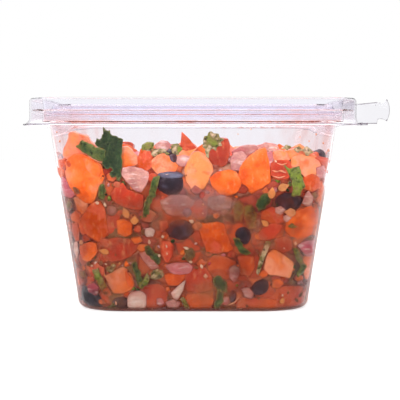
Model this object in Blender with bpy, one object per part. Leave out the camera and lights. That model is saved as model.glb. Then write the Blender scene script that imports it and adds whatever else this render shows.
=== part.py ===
"""Black bean salsa in a shut clear tub: diced tomato, onion, black beans and cilantro under a lid.

Units are metres and +Z is up. The origin is the middle of the tub's underside, and the front faces -Y.
Run with: blender --background --python part.py
"""
import math
import random

import bmesh
import bpy
from mathutils import Matrix, Vector, noise

MM = 0.001

# Plan sizes are half widths along X. Each outline is DEPTH_LESS shorter along Y.
DEPTH_LESS = 10.0 * MM
BASE_HALF = 49.0 * MM          # tub wall just above the rounded edge of the base
WALL_TOP_HALF = 58.6 * MM      # tub wall where the upright band begins
BAND_HALF = 61.3 * MM          # upright band under the tub's rim
RIM_HALF = 65.2 * MM           # outer edge of the tub's rim
SKIRT_HALF = 66.4 * MM         # upright side of the lid
FLANGE_HALF = 69.0 * MM        # flared foot of the lid's side
CHANNEL_HALF = 60.4 * MM       # outer side of the ring that plugs the lid into the tub
PANEL_HALF = 57.0 * MM         # flat middle of the lid

BASE_CORNER = 20.5 * MM
WALL_TOP_CORNER = 11.0 * MM
SKIRT_CORNER = 15.9 * MM

BASE_FILLET = 3.8 * MM
BAND_FOOT_Z = 77.4 * MM
RIM_Z = 83.0 * MM
LID_TOP_Z = 87.7 * MM
PANEL_Z = 85.2 * MM
CHANNEL_Z = 80.2 * MM
FLANGE_Z = 76.6 * MM
WALL = 0.6 * MM
GAP = 0.3 * MM

# The pull tab stands out from the front right corner of the lid, as a thin upright plate and a grip.
TAB_Y = -43.6 * MM
TAB_WALL = 0.8 * MM
TAB_ROOT_X = 65.75 * MM
TAB_PLATE_END_X = 74.4 * MM
TAB_GRIP_END_X = 78.4 * MM
TAB_LOW_Z = 77.3 * MM
TAB_HIGH_Z = 86.0 * MM
TAB_LIP_DEPTH = 2.4 * MM
TAB_LIP_DROP = 0.9 * MM        # from the plate's top edge down to the lip
TAB_FOOT_X = 70.4 * MM
TAB_FOOT_TALL = 1.1 * MM
EDGE_ROUND = 1.5 * MM          # rounded top edge of the lid
CLEAN_DISTANCE = 0.002 * MM

# The salsa: a core a little behind the wall, with the pieces that show fused on.
CORE_INSET = 2.4 * MM
CORE_TOP_Z = 59.5 * MM
CORE_SWELL = 5.0 * MM
CORE_FLOOR_Z = 2.4 * MM
HEAP_ROOF_Z = 76.4 * MM
TOP_PIECE_Z = 64.0 * MM        # the highest that the middle of a strewn piece lies
WALL_STEP = 17.0 * MM
ROW_STEP = 12.5 * MM
TOP_STEP = 14.0 * MM
FLOOR_STEP = 20.0 * MM
SEED = 41

CORNER_STEPS = 7               # flats in each corner of the tub and the lid
HEAP_CORNER_STEPS = 4          # flats in each corner of the salsa
FILLET_STEPS = 4

# Pieces that the front shows, by kind: x, z, width, height in millimetres and turn in degrees.
FRONT_PIECES = [
    ("lobe", -47.2, 68.2, 12.0, 10.5, 0),
    ("dice", -44.5, 57.6, 17.0, 14.5, 12),
    ("leaf", -33.3, 65.4, 19.0, 10.0, 84),
    ("stem", -41.6, 66.4, 11.5, 3.0, -25),
    ("onion", -50.0, 50.0, 5.0, 10.0, 0),
    ("dice", -26.8, 46.9, 14.0, 7.0, 8),
    ("onion", -23.6, 54.6, 10.5, 9.7, 20),
    ("lobe", -12.2, 61.0, 12.5, 8.5, 10),
    ("bean", -9.4, 53.3, 11.3, 8.9, 10),
    ("leaf", -16.7, 48.5, 16.0, 4.0, 74),
    ("dice", 2.3, 58.6, 11.5, 15.0, 15),
    ("dice", 12.4, 52.6, 12.5, 9.0, -12),
    ("dice", 24.9, 57.8, 12.5, 16.0, -14),
    ("lobe", 11.2, 65.4, 8.5, 10.0, 0),
    ("lobe", 36.3, 60.0, 14.0, 12.0, 5),
    ("leaf", 41.5, 54.2, 12.0, 6.0, 60),
    ("dice", 48.2, 50.2, 8.5, 10.0, -8),
    ("bean", 38.3, 46.5, 11.3, 8.0, 0),
    ("leaf", 24.0, 43.0, 13.0, 7.0, -65),
    ("onion", -7.0, 44.5, 16.0, 9.5, -8),
    ("bean", -5.4, 35.6, 12.5, 9.8, 15),
    ("dice", 8.4, 31.5, 13.7, 13.0, -20),
    ("bean", 20.5, 31.9, 8.2, 6.6, 80),
    ("dice", 31.0, 34.4, 12.0, 9.0, 15),
    ("dice", 45.0, 38.4, 13.0, 14.0, -25),
    ("onion", 46.0, 26.6, 8.0, 6.0, 10),
    ("dice", 34.6, 20.6, 13.7, 10.5, 8),
    ("stem", 27.8, 22.6, 12.0, 2.6, 76),
    ("bean", 27.0, 11.6, 8.0, 6.6, 60),
    ("leaf", 11.2, 10.0, 13.0, 6.5, 84),
    ("dice", 2.3, 14.2, 13.7, 10.5, 0),
    ("onion", -6.2, 19.6, 9.7, 5.0, -10),
    ("onion", -22.4, 6.9, 8.0, 8.0, 0),
    ("bean", -41.6, 9.3, 9.5, 7.4, 10),
    ("bean", -31.2, 6.2, 9.7, 6.4, -5),
    ("dice", -30.4, 15.0, 10.5, 10.5, 20),
    ("dice", -30.8, 26.6, 15.0, 8.5, 6),
    ("dice", -40.6, 36.8, 11.3, 14.0, -10),
    ("leaf", -16.3, 25.1, 10.5, 6.0, 70),
    ("dice", -28.0, 37.4, 10.0, 9.5, 12),
]

# Share of each kind among the pieces that a rule places: name, weight, length range in millimetres.
KIND_MIX = [
    ("dice", 10, (9.5, 14.0)),
    ("lobe", 3, (9.0, 12.0)),
    ("onion", 4, (7.5, 11.0)),
    ("bean", 3, (10.0, 12.0)),
    ("leaf", 2, (9.0, 14.0)),
    ("stem", 1, (9.0, 12.0)),
]
# Height of each kind as a share of its length, for the pieces that a rule places.
KIND_ASPECT = {"dice": 0.85, "lobe": 0.8, "onion": 0.7, "bean": 0.74, "leaf": 0.5, "stem": 0.25}


def clear_scene():
    """Remove every object that the file starts with."""
    for old in list(bpy.data.objects):
        bpy.data.objects.remove(old, do_unlink=True)


def principled(name, colour, roughness, transmission=0.0):
    """A Principled material in the piece's own colour."""
    material = bpy.data.materials.new(name)
    material.use_nodes = True
    shader = material.node_tree.nodes["Principled BSDF"]
    shader.inputs["Base Color"].default_value = (*colour, 1.0)
    shader.inputs["Roughness"].default_value = roughness
    shader.inputs["Metallic"].default_value = 0.0
    shader.inputs["Transmission Weight"].default_value = transmission
    return material


def add_object(name, mesh, material=None):
    """Put a mesh in the scene as an object of that name."""
    item = bpy.data.objects.new(name, mesh)
    bpy.context.scene.collection.objects.link(item)
    if material is not None:
        mesh.materials.clear()
        mesh.materials.append(material)
    return item


def mesh_from(name, points, faces):
    """A mesh of the given points and faces, with its faces turned outwards."""
    shape = bmesh.new()
    corners = [shape.verts.new(point) for point in points]
    for face in faces:
        shape.faces.new([corners[index] for index in face])
    bmesh.ops.recalc_face_normals(shape, faces=shape.faces)
    mesh = bpy.data.meshes.new(name)
    shape.to_mesh(mesh)
    shape.free()
    return mesh


def shade_round(item, angle=35):
    """Smooth shading that keeps the edges sharper than the angle."""
    item.data.shade_smooth()
    item.data.set_sharp_from_angle(angle=math.radians(angle))


def rounded_loop(half, z, corner, steps=CORNER_STEPS):
    """Points of a rounded rectangle at height z, counter-clockwise seen from above."""
    points = []
    for quarter, (side_x, side_y) in enumerate(((1, 1), (-1, 1), (-1, -1), (1, -1))):
        centre_x = side_x * (half - corner)
        centre_y = side_y * (half - DEPTH_LESS - corner)
        for step in range(steps + 1):
            angle = math.radians(90) * (quarter + step / steps)
            x = centre_x + corner * math.cos(angle)
            y = centre_y + corner * math.sin(angle)
            points.append((x, y, z))
    return points


def loft(name, loops):
    """A closed solid through loops of equal length, with a flat cap at each end."""
    count = len(loops[0])
    points = [point for loop in loops for point in loop]
    faces = [list(range(count))]
    for level in range(len(loops) - 1):
        low = level * count
        for index in range(count):
            after = (index + 1) % count
            faces.append([low + index, low + after, low + count + after, low + count + index])
    faces.append([(len(loops) - 1) * count + index for index in range(count)])
    return mesh_from(name, points, faces)


def offset_profile(profile, distance):
    """The open profile of (half, z) points moved sideways by the distance, with mitred corners."""
    moved = []
    for index, (half, z) in enumerate(profile):
        before = profile[max(index - 1, 0)]
        after = profile[min(index + 1, len(profile) - 1)]
        into = Vector((half - before[0], z - before[1]))
        out = Vector((after[0] - half, after[1] - z))
        if into.length == 0:
            into = out
        if out.length == 0:
            out = into
        normal_in = Vector((-into.y, into.x)).normalized()
        normal_out = Vector((-out.y, out.x)).normalized()
        middle = (normal_in + normal_out).normalized()
        reach = distance / max(middle.dot(normal_in), 0.5)
        moved.append((half + middle.x * reach, z + middle.y * reach))
    return moved


def wall_half(z):
    """Half width of the tapered wall's outer face at height z."""
    share = (z - BASE_FILLET) / (BAND_FOOT_Z - BASE_FILLET)
    return BASE_HALF + (WALL_TOP_HALF - BASE_HALF) * share


def wall_corner(z):
    """Corner radius of the tapered wall's outer face at height z."""
    share = (z - BASE_FILLET) / (BAND_FOOT_Z - BASE_FILLET)
    return BASE_CORNER + (WALL_TOP_CORNER - BASE_CORNER) * share


def tub_corner(half, z):
    """Corner radius of any outline of the tub, parallel to the face that it belongs to."""
    if z < BAND_FOOT_Z - WALL:
        return wall_corner(max(z, BASE_FILLET)) + half - wall_half(max(z, BASE_FILLET))
    if half < BAND_HALF - 2 * WALL:
        return WALL_TOP_CORNER + half - WALL_TOP_HALF
    return SKIRT_CORNER + half - SKIRT_HALF


def lid_corner(half):
    """Corner radius of any outline of the lid, parallel to its side."""
    return SKIRT_CORNER + half - SKIRT_HALF


def base_fillet_points():
    """Outer profile of the rounded edge between the base and the wall."""
    points = []
    for step in range(FILLET_STEPS + 1):
        angle = math.radians(90) * step / FILLET_STEPS
        half = BASE_HALF - BASE_FILLET + BASE_FILLET * math.sin(angle)
        points.append((half, BASE_FILLET - BASE_FILLET * math.cos(angle)))
    return points


def make_tub():
    """The clear tub: flat base, tapered walls, an upright band and a rim."""
    outer = base_fillet_points()
    outer.append((WALL_TOP_HALF, BAND_FOOT_Z))
    outer.append((BAND_HALF, BAND_FOOT_Z))
    outer.append((BAND_HALF, RIM_Z - WALL))
    outer.append((RIM_HALF, RIM_Z - WALL))
    inner = offset_profile(outer, WALL)
    profile = outer + list(reversed(inner))
    loops = [rounded_loop(half, z, tub_corner(half, z)) for half, z in profile]
    tub = add_object("tub", loft("tub", loops), principled("tub_clear_plastic", (0.90, 0.89, 0.93), 0.08, 1.0))
    shade_round(tub)
    return tub


def lid_top_profile():
    """Upper and outer face of the lid, from the middle panel out to the foot of its side."""
    foot = FLANGE_HALF - SKIRT_HALF
    profile = [
        (PANEL_HALF, PANEL_Z),
        (PANEL_HALF + 0.8 * MM, CHANNEL_Z + WALL),
        (CHANNEL_HALF - WALL, CHANNEL_Z + WALL),
        (CHANNEL_HALF + 0.3 * MM, LID_TOP_Z),
    ]
    for step in range(FILLET_STEPS + 1):
        angle = math.radians(90) * step / FILLET_STEPS
        half = SKIRT_HALF - EDGE_ROUND + EDGE_ROUND * math.sin(angle)
        profile.append((half, LID_TOP_Z - EDGE_ROUND + EDGE_ROUND * math.cos(angle)))
    for step in range(FILLET_STEPS + 1):
        angle = math.radians(90) * step / FILLET_STEPS
        half = FLANGE_HALF - foot * math.cos(angle)
        profile.append((half, FLANGE_Z + WALL + foot * (1.0 - math.sin(angle))))
    return profile


def tab_sheet():
    """The tab's upright plate, its notch and its flared grip, as one thin sheet."""
    stations = [
        (TAB_ROOT_X, TAB_LOW_Z, TAB_HIGH_Z - 0.8 * MM, 0.0, 0.0),
        (TAB_PLATE_END_X, TAB_LOW_Z, TAB_HIGH_Z, 0.0, 0.0),
        (TAB_PLATE_END_X + 0.3 * MM, TAB_LOW_Z + 1.7 * MM, TAB_HIGH_Z - 0.2 * MM, 0.2 * MM, 0.0),
        (TAB_PLATE_END_X + 1.8 * MM, TAB_LOW_Z + 1.9 * MM, TAB_HIGH_Z - 0.2 * MM, 0.9 * MM, 0.1 * MM),
        (TAB_PLATE_END_X + 3.2 * MM, TAB_LOW_Z + 1.5 * MM, TAB_HIGH_Z + 0.5 * MM, 1.3 * MM, 0.5 * MM),
        (TAB_GRIP_END_X, TAB_LOW_Z + 1.0 * MM, TAB_HIGH_Z + 1.2 * MM, 1.8 * MM, 0.9 * MM),
    ]
    rows = 6
    sheet = []
    for face_y in (TAB_Y - TAB_WALL / 2, TAB_Y + TAB_WALL / 2):
        for x, low, high, bulge, bow in stations:
            for row in range(rows + 1):
                share = row / rows
                arch = 1.0 - (2.0 * share - 1.0) ** 2
                sheet.append((x + bow * arch, face_y - bulge * arch, low + (high - low) * share))
    across = rows + 1
    side = len(stations) * across
    faces = []
    for column in range(len(stations) - 1):
        for row in range(rows):
            near = column * across + row
            front = [near, near + across, near + across + 1, near + 1]
            faces.append(front)
            faces.append([index + side for index in reversed(front)])
        for row in (0, rows):
            near = column * across + row
            faces.append([near, near + across, near + across + side, near + side])
    for column in (0, len(stations) - 1):
        for row in range(rows):
            near = column * across + row
            faces.append([near, near + 1, near + 1 + side, near + side])
    return add_object("tab_sheet", mesh_from("tab_sheet", sheet, faces))


def box_object(name, low, high):
    """A plain block between two corners, for a small lip or foot."""
    shape = bmesh.new()
    bmesh.ops.create_cube(shape, size=1.0)
    size = Vector(high) - Vector(low)
    middle = (Vector(high) + Vector(low)) / 2
    for vert in shape.verts:
        vert.co = Vector(a * b for a, b in zip(vert.co, size)) + middle
    mesh = bpy.data.meshes.new(name)
    shape.to_mesh(mesh)
    shape.free()
    return add_object(name, mesh)


def tab_lip():
    """The turned-back lip along the top of the tab's plate."""
    low = (TAB_ROOT_X + 0.6 * MM, TAB_Y - TAB_WALL / 4, TAB_HIGH_Z - TAB_LIP_DROP - WALL)
    high = (TAB_PLATE_END_X - 0.4 * MM, TAB_Y + TAB_LIP_DEPTH, TAB_HIGH_Z - TAB_LIP_DROP)
    return box_object("tab_lip", low, high)


def tab_foot():
    """The short ledge that carries the lid's foot on under the tab."""
    low = (TAB_ROOT_X, TAB_Y - 3.0 * MM, FLANGE_Z + 0.02 * MM)
    high = (TAB_FOOT_X, TAB_Y + 2.0 * MM, FLANGE_Z + TAB_FOOT_TALL)
    return box_object("tab_foot", low, high)


def fuse(body, pieces, solver="EXACT", operation="UNION"):
    """Join a list of objects to the body, or cut the body to them, and remove them."""
    group = bpy.data.collections.new("pieces_to_fuse")
    for piece in pieces:
        group.objects.link(piece)
    change = body.modifiers.new("fuse", "BOOLEAN")
    change.operation = operation
    change.operand_type = "COLLECTION"
    change.collection = group
    change.solver = solver
    graph = bpy.context.evaluated_depsgraph_get()
    joined = bpy.data.meshes.new_from_object(body.evaluated_get(graph))
    body.modifiers.clear()
    body.data = joined
    for piece in pieces:
        bpy.data.objects.remove(piece, do_unlink=True)
    bpy.data.collections.remove(group)


def make_lid():
    """The clear lid with its plug ring, side, flared foot and pull tab, formed as one piece."""
    top = lid_top_profile()
    under = offset_profile(top, -WALL)
    profile = under + list(reversed(top))
    loops = [rounded_loop(half, z, lid_corner(half)) for half, z in profile]
    lid = add_object("lid", loft("lid", loops))
    fuse(lid, [tab_sheet(), tab_lip(), tab_foot()])
    lid.data.materials.clear()
    lid.data.materials.append(principled("lid_clear_plastic", (0.92, 0.91, 0.96), 0.08, 1.0))
    shade_round(lid)
    return lid


def inner_half(z):
    """Half width that is free for the salsa at height z."""
    return wall_half(z) - WALL - GAP


def inner_loop(z, inset=0.0):
    """Outline that the salsa may fill at height z, drawn in by the inset."""
    floor = WALL + GAP
    rise = min(max(z - floor, 0.0), BASE_FILLET)
    drawn_in = BASE_FILLET - math.sqrt(max(BASE_FILLET ** 2 - (BASE_FILLET - rise) ** 2, 0.0))
    level = max(z, BASE_FILLET)
    half = inner_half(level) - drawn_in - inset
    corner = wall_corner(level) - WALL - GAP - drawn_in - inset
    return rounded_loop(half, z, corner, HEAP_CORNER_STEPS)


def envelope():
    """The whole space inside the tub, up to just under the band."""
    floor = WALL + GAP
    levels = [floor + BASE_FILLET * share for share in (0.0, 0.3, 1.0)]
    levels.append(HEAP_ROOF_Z)
    return add_object("envelope", loft("envelope", [inner_loop(z) for z in levels]))


def heap_height(x, y):
    """Height of the core's uneven top, which rises a little towards the wall."""
    swell_width = 28 * MM
    swell_start = Vector((3.1, 7.7, 1.9))
    edge_rise = 1.5 * MM
    swell = noise.noise(Vector((x, y, 0.0)) / swell_width + swell_start)
    edge_share = max(abs(x) / BASE_HALF, abs(y) / (BASE_HALF - DEPTH_LESS))
    return CORE_TOP_Z + CORE_SWELL * swell + edge_rise * edge_share


def make_core(material):
    """The body of the heap, a little behind the wall, with an uneven top."""
    loops = [inner_loop(z, CORE_INSET) for z in (CORE_FLOOR_Z, WALL + GAP + BASE_FILLET)]
    rim = [(x, y, heap_height(x, y)) for x, y, _ in inner_loop(CORE_TOP_Z, CORE_INSET)]
    loops.append(rim)
    for share in (0.66, 0.33):
        loops.append([(x * share, y * share, heap_height(x * share, y * share)) for x, y, _ in rim])
    return add_object("salsa", loft("salsa", loops), material)


def wall_place(side, along, z):
    """Frame of a spot on the inner wall, with its X along the wall, Z up it and -Y out of it."""
    half_x = inner_half(z)
    half_y = half_x - DEPTH_LESS
    corner = wall_corner(z) - WALL - GAP
    straight = (half_x if side in (0, 2) else half_y) - corner
    reach = half_y if side in (0, 2) else half_x
    turn = math.radians((0, 90, 180, 270)[side])
    if abs(along) <= straight:
        local = Vector((along, -reach, z))
        bend = 0.0
    else:
        over = min(abs(along) - straight, corner * math.radians(45))
        bend = math.copysign(over / corner, along)
        local = Vector((
            math.copysign(straight, along) + corner * math.sin(bend),
            -(reach - corner) - corner * math.cos(bend),
            z,
        ))
    lean = math.atan2(WALL_TOP_HALF - BASE_HALF, BAND_FOOT_Z - BASE_FILLET)
    facing = Matrix.Rotation(turn + bend, 4, "Z") @ Matrix.Rotation(lean, 4, "X")
    spot = Matrix.Rotation(turn, 4, "Z") @ local
    return Matrix.Translation(spot) @ facing


def dice_mesh(draw, length, height, depth):
    """A hand-cut cube: six flat sides with its corners pulled about."""
    least, most = 0.78, 1.02
    shape = bmesh.new()
    for side_x in (-0.5, 0.5):
        for side_y in (-0.5, 0.5):
            for side_z in (-0.5, 0.5):
                pull = [draw.uniform(least, most) for _ in range(3)]
                point = (side_x * length * pull[0], side_y * depth * pull[1], side_z * height * pull[2])
                shape.verts.new(point)
    bmesh.ops.convex_hull(shape, input=shape.verts)
    return shape


def lobe_mesh(draw, length, height, depth):
    """A rounded chunk of tomato flesh with its skin side out."""
    least, most = 0.93, 1.13
    shape = bmesh.new()
    bmesh.ops.create_icosphere(shape, subdivisions=1, radius=0.5)
    for vert in shape.verts:
        pull = draw.uniform(least, most)
        vert.co = Vector((vert.co.x * length, vert.co.y * depth, vert.co.z * height)) * pull
    return shape


def bean_mesh(draw, length, height, depth):
    """A black bean: a plump oval that bends a little along its length."""
    bend = 0.09 * height
    shape = bmesh.new()
    bmesh.ops.create_uvsphere(shape, u_segments=7, v_segments=4, radius=0.5)
    bmesh.ops.rotate(shape, verts=shape.verts, matrix=Matrix.Rotation(math.radians(90), 3, "Y"))
    for vert in shape.verts:
        along = vert.co.x * 2
        vert.co = Vector((vert.co.x * length, vert.co.y * depth, vert.co.z * height))
        vert.co.z -= bend * (1.0 - along * along)
    return shape


def onion_mesh(draw, length, height, depth):
    """A square cut from one curved layer of onion."""
    columns = 3
    thick = min(depth, 3.0 * MM)
    curve = 0.18 * length
    taper = 0.18
    shape = bmesh.new()
    rings = []
    for column in range(columns):
        share = column / (columns - 1) * 2 - 1
        sag = curve * share * share
        x = share * length / 2
        tall = height / 2 * (1.0 - taper * share * share)
        corners = ((sag, -tall), (sag + thick, -tall), (sag + thick, tall), (sag, tall))
        rings.append([shape.verts.new((x, y - curve / 2, z)) for y, z in corners])
    for first, second in zip(rings, rings[1:]):
        for index in range(4):
            after = (index + 1) % 4
            shape.faces.new((first[index], first[after], second[after], second[index]))
    shape.faces.new(rings[0])
    shape.faces.new(rings[-1])
    bmesh.ops.recalc_face_normals(shape, faces=shape.faces)
    return shape


def leaf_mesh(draw, length, height, depth):
    """A piece of cilantro leaf: a thin wavy solid, widest near its middle."""
    columns = 4
    thick = 1.0 * MM
    wave = draw.uniform(0.5, 0.9) * MM
    phase = draw.uniform(0, math.tau)
    end_width = 0.35
    shape = bmesh.new()
    rings = []
    for column in range(columns):
        share = column / (columns - 1)
        belly = math.sin(math.pi * (0.15 + 0.75 * share))
        wide = height / 2 * (end_width + (1.0 - end_width) * belly)
        x = (share - 0.5) * length
        ring = []
        for row, level in ((-1, -wide), (0, 0.0), (1, wide)):
            y = wave * math.sin(phase + 5.0 * share + 2.2 * row)
            ring.append((x, y, level))
        rings.append(ring)
    front = [[shape.verts.new((x, y - thick / 2, z)) for x, y, z in ring] for ring in rings]
    back = [[shape.verts.new((x, y + thick / 2, z)) for x, y, z in ring] for ring in rings]
    for column in range(columns - 1):
        for row in range(2):
            for face in (front, back):
                near, far = face[column], face[column + 1]
                shape.faces.new((near[row], far[row], far[row + 1]))
                shape.faces.new((near[row], far[row + 1], near[row + 1]))
        for row in (0, 2):
            edge = (front[column][row], front[column + 1][row], back[column + 1][row], back[column][row])
            shape.faces.new(edge)
    for column in (0, columns - 1):
        for row in range(2):
            edge = (front[column][row], front[column][row + 1], back[column][row + 1], back[column][row])
            shape.faces.new(edge)
    bmesh.ops.recalc_face_normals(shape, faces=shape.faces)
    return shape


def stem_mesh(draw, length, height, depth):
    """A short length of cilantro stem with five sides."""
    shape = bmesh.new()
    radius = height / 2
    tip = 0.8 * radius
    bmesh.ops.create_cone(shape, cap_ends=True, segments=5, radius1=radius, radius2=tip, depth=length)
    bmesh.ops.rotate(shape, verts=shape.verts, matrix=Matrix.Rotation(math.radians(90), 3, "Y"))
    return shape


SHAPES = {
    "dice": dice_mesh,
    "lobe": lobe_mesh,
    "bean": bean_mesh,
    "onion": onion_mesh,
    "leaf": leaf_mesh,
    "stem": stem_mesh,
}
# How far each kind lies behind the wall, and how thick it is, as a share of its length.
KIND_SINK = {"dice": 0.30, "lobe": 0.22, "bean": 0.24, "onion": 0.06, "leaf": 0.03, "stem": 0.10}
KIND_THICK = {"dice": 0.85, "lobe": 0.8, "bean": 0.72, "onion": 0.3, "leaf": 0.1, "stem": 0.25}


def piece_object(draw, kind, length, height, place):
    """One piece of the salsa at a place given as a matrix."""
    depth = KIND_THICK[kind] * max(length, height)
    shape = SHAPES[kind](draw, length, height, depth)
    shape.transform(place)
    mesh = bpy.data.meshes.new(kind)
    shape.to_mesh(mesh)
    shape.free()
    return add_object(kind, mesh)


def pressed_place(draw, kind, length, side, along, z, turn):
    """Place of a piece that is pressed against the wall, turned in its plane and slightly askew."""
    sink = max(KIND_SINK[kind] * length, 0.9 * MM)
    askew = math.radians(6)
    inwards = Matrix.Translation((0, sink, 0))
    spin = Matrix.Rotation(math.radians(-turn), 4, "Y")
    tilt = Matrix.Rotation(draw.uniform(-askew, askew), 4, "X")
    swing = Matrix.Rotation(draw.uniform(-askew, askew), 4, "Z")
    return wall_place(side, along, z) @ inwards @ tilt @ swing @ spin


def draw_kind(draw):
    """Kind and length of one piece, in the proportions that the salsa shows."""
    kinds = [row[0] for row in KIND_MIX]
    weights = [row[1] for row in KIND_MIX]
    kind = draw.choices(kinds, weights)[0]
    low, high = dict((row[0], row[2]) for row in KIND_MIX)[kind]
    return kind, draw.uniform(low, high) * MM


def front_pieces(draw):
    """The pieces that the front of the tub shows, each at its own place."""
    pieces = []
    for kind, x, z, width, height, turn in FRONT_PIECES:
        place = pressed_place(draw, kind, min(width, height) * 1.3 * MM, 0, x * MM, z * MM, turn)
        pieces.append(piece_object(draw, kind, width * MM, height * MM, place))
    return pieces


def near_front_piece(along, z):
    """Whether a spot on the front wall is covered by one of the listed pieces."""
    margin = 4.0 * MM
    for _, x, level, width, height, _ in FRONT_PIECES:
        reach = 0.5 * max(width, height) * MM + margin
        if math.hypot(along - x * MM, z - level * MM) < reach:
            return True
    return False


def wall_pieces(draw):
    """Pieces pressed against the four walls, in loose rows."""
    lowest_row = 8.5 * MM
    corner_margin = 3.0 * MM
    pieces = []
    for side in range(4):
        row = 0
        z = lowest_row
        while z < CORE_TOP_Z:
            half = inner_half(z) - (0.0 if side in (0, 2) else DEPTH_LESS)
            reach = half - corner_margin
            count = max(int(2 * reach / WALL_STEP), 1)
            for index in range(count + 1):
                share = (index + 0.5 * (row % 2)) / count
                if share > 1.0:
                    continue
                along = -reach + 2 * reach * share + draw.uniform(-2.0, 2.0) * MM
                level = z + draw.uniform(-1.8, 1.8) * MM
                kind, length = draw_kind(draw)
                turn = draw.uniform(-35, 35) if kind in ("dice", "lobe", "onion") else draw.uniform(0, 180)
                if side == 0 and near_front_piece(along, level):
                    continue
                place = pressed_place(draw, kind, length, side, along, level, turn)
                pieces.append(piece_object(draw, kind, length, length * KIND_ASPECT[kind], place))
            z += ROW_STEP
            row += 1
    return pieces


def flat_pieces(draw, step, height_at, half_x, half_y, share_up):
    """Pieces strewn over a level or a heaped surface, turned any way."""
    pieces = []
    columns = int(2 * half_x / step)
    rows = int(2 * half_y / step)
    for column in range(columns + 1):
        for row in range(rows + 1):
            x = -half_x + 2 * half_x * column / columns + draw.uniform(-0.25, 0.25) * step
            y = -half_y + 2 * half_y * row / rows + draw.uniform(-0.25, 0.25) * step
            kind, length = draw_kind(draw)
            lift = share_up * length * KIND_THICK[kind]
            spin = Matrix.Rotation(draw.uniform(0, math.tau), 4, "Z")
            lean = Matrix.Rotation(math.radians(90 + draw.uniform(-20, 20)), 4, "X")
            middle_z = min(height_at(x, y) + lift, TOP_PIECE_Z)
            place = Matrix.Translation((x, y, middle_z)) @ spin @ lean
            pieces.append(piece_object(draw, kind, length, length * KIND_ASPECT[kind], place))
    return pieces


def floor_height(x, y):
    """Height at which the middles of the pieces on the tub's floor lie."""
    return WALL + GAP + 1.0 * MM


def keep_main_body(item):
    """Drop loose scraps and fill hollows that fusing sealed, by keeping the largest closed body."""
    shape = bmesh.new()
    shape.from_mesh(item.data)
    bmesh.ops.remove_doubles(shape, verts=shape.verts, dist=CLEAN_DISTANCE)
    bmesh.ops.dissolve_degenerate(shape, edges=shape.edges, dist=CLEAN_DISTANCE)
    bmesh.ops.triangulate(shape, faces=shape.faces)
    seen = set()
    bodies = []
    for start in shape.faces:
        if start in seen:
            continue
        body = []
        waiting = [start]
        seen.add(start)
        while waiting:
            face = waiting.pop()
            body.append(face)
            for edge in face.edges:
                for other in edge.link_faces:
                    if other not in seen:
                        seen.add(other)
                        waiting.append(other)
        bodies.append(body)
    bodies.sort(key=len)
    scraps = [face for body in bodies[:-1] for face in body]
    bmesh.ops.delete(shape, geom=scraps, context="FACES")
    shape.to_mesh(item.data)
    shape.free()


def make_salsa():
    """The heap that fills the tub: a core with its pieces fused on, cut to the space inside the wall."""
    draw = random.Random(SEED)
    material = principled("salsa_mixed", (0.78, 0.28, 0.14), 0.35)
    salsa = make_core(material)
    top_half = inner_half(CORE_TOP_Z) - 8 * MM
    floor_half = BASE_HALF - 11 * MM
    pieces = front_pieces(draw)
    pieces += wall_pieces(draw)
    pieces += flat_pieces(draw, TOP_STEP, heap_height, top_half, top_half - DEPTH_LESS, 0.33)
    pieces += flat_pieces(draw, FLOOR_STEP, floor_height, floor_half, floor_half - DEPTH_LESS, 0.0)
    # The exact solver leaves doubled diagonals where two pieces share a plane, so this uses the other one.
    fuse(salsa, pieces, solver="MANIFOLD")
    fuse(salsa, [envelope()], solver="MANIFOLD", operation="INTERSECT")
    keep_main_body(salsa)
    salsa.data.materials.clear()
    salsa.data.materials.append(material)
    shade_round(salsa, 30)
    return salsa


def main():
    """Build the tub, the lid and the salsa."""
    clear_scene()
    make_tub()
    make_lid()
    make_salsa()


main()
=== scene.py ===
"""Looks of the black bean salsa in its shut clear tub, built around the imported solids.

Units are metres and +Z is up. The front of the tub faces -Y.
"""
import math
import random
from collections import namedtuple

import bmesh
import bpy
import numpy as np
from mathutils import Euler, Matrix, Vector, geometry, noise


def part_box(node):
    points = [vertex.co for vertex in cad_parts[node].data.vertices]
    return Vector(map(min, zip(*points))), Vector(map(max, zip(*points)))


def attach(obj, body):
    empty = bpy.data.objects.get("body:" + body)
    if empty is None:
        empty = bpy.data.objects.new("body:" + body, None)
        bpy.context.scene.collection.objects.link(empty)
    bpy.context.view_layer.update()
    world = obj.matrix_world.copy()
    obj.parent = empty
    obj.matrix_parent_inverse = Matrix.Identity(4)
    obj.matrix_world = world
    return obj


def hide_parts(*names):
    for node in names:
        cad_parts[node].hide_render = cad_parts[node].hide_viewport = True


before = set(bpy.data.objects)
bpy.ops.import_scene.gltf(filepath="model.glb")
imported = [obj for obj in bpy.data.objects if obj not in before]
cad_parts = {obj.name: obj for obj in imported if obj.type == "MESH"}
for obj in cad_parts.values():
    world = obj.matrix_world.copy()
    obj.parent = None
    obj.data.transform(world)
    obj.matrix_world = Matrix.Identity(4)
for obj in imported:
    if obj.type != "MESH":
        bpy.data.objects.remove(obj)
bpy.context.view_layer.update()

TUB_LOW, TUB_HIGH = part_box("tub")
LID_LOW, LID_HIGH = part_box("lid")

MM = 0.001

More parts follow.
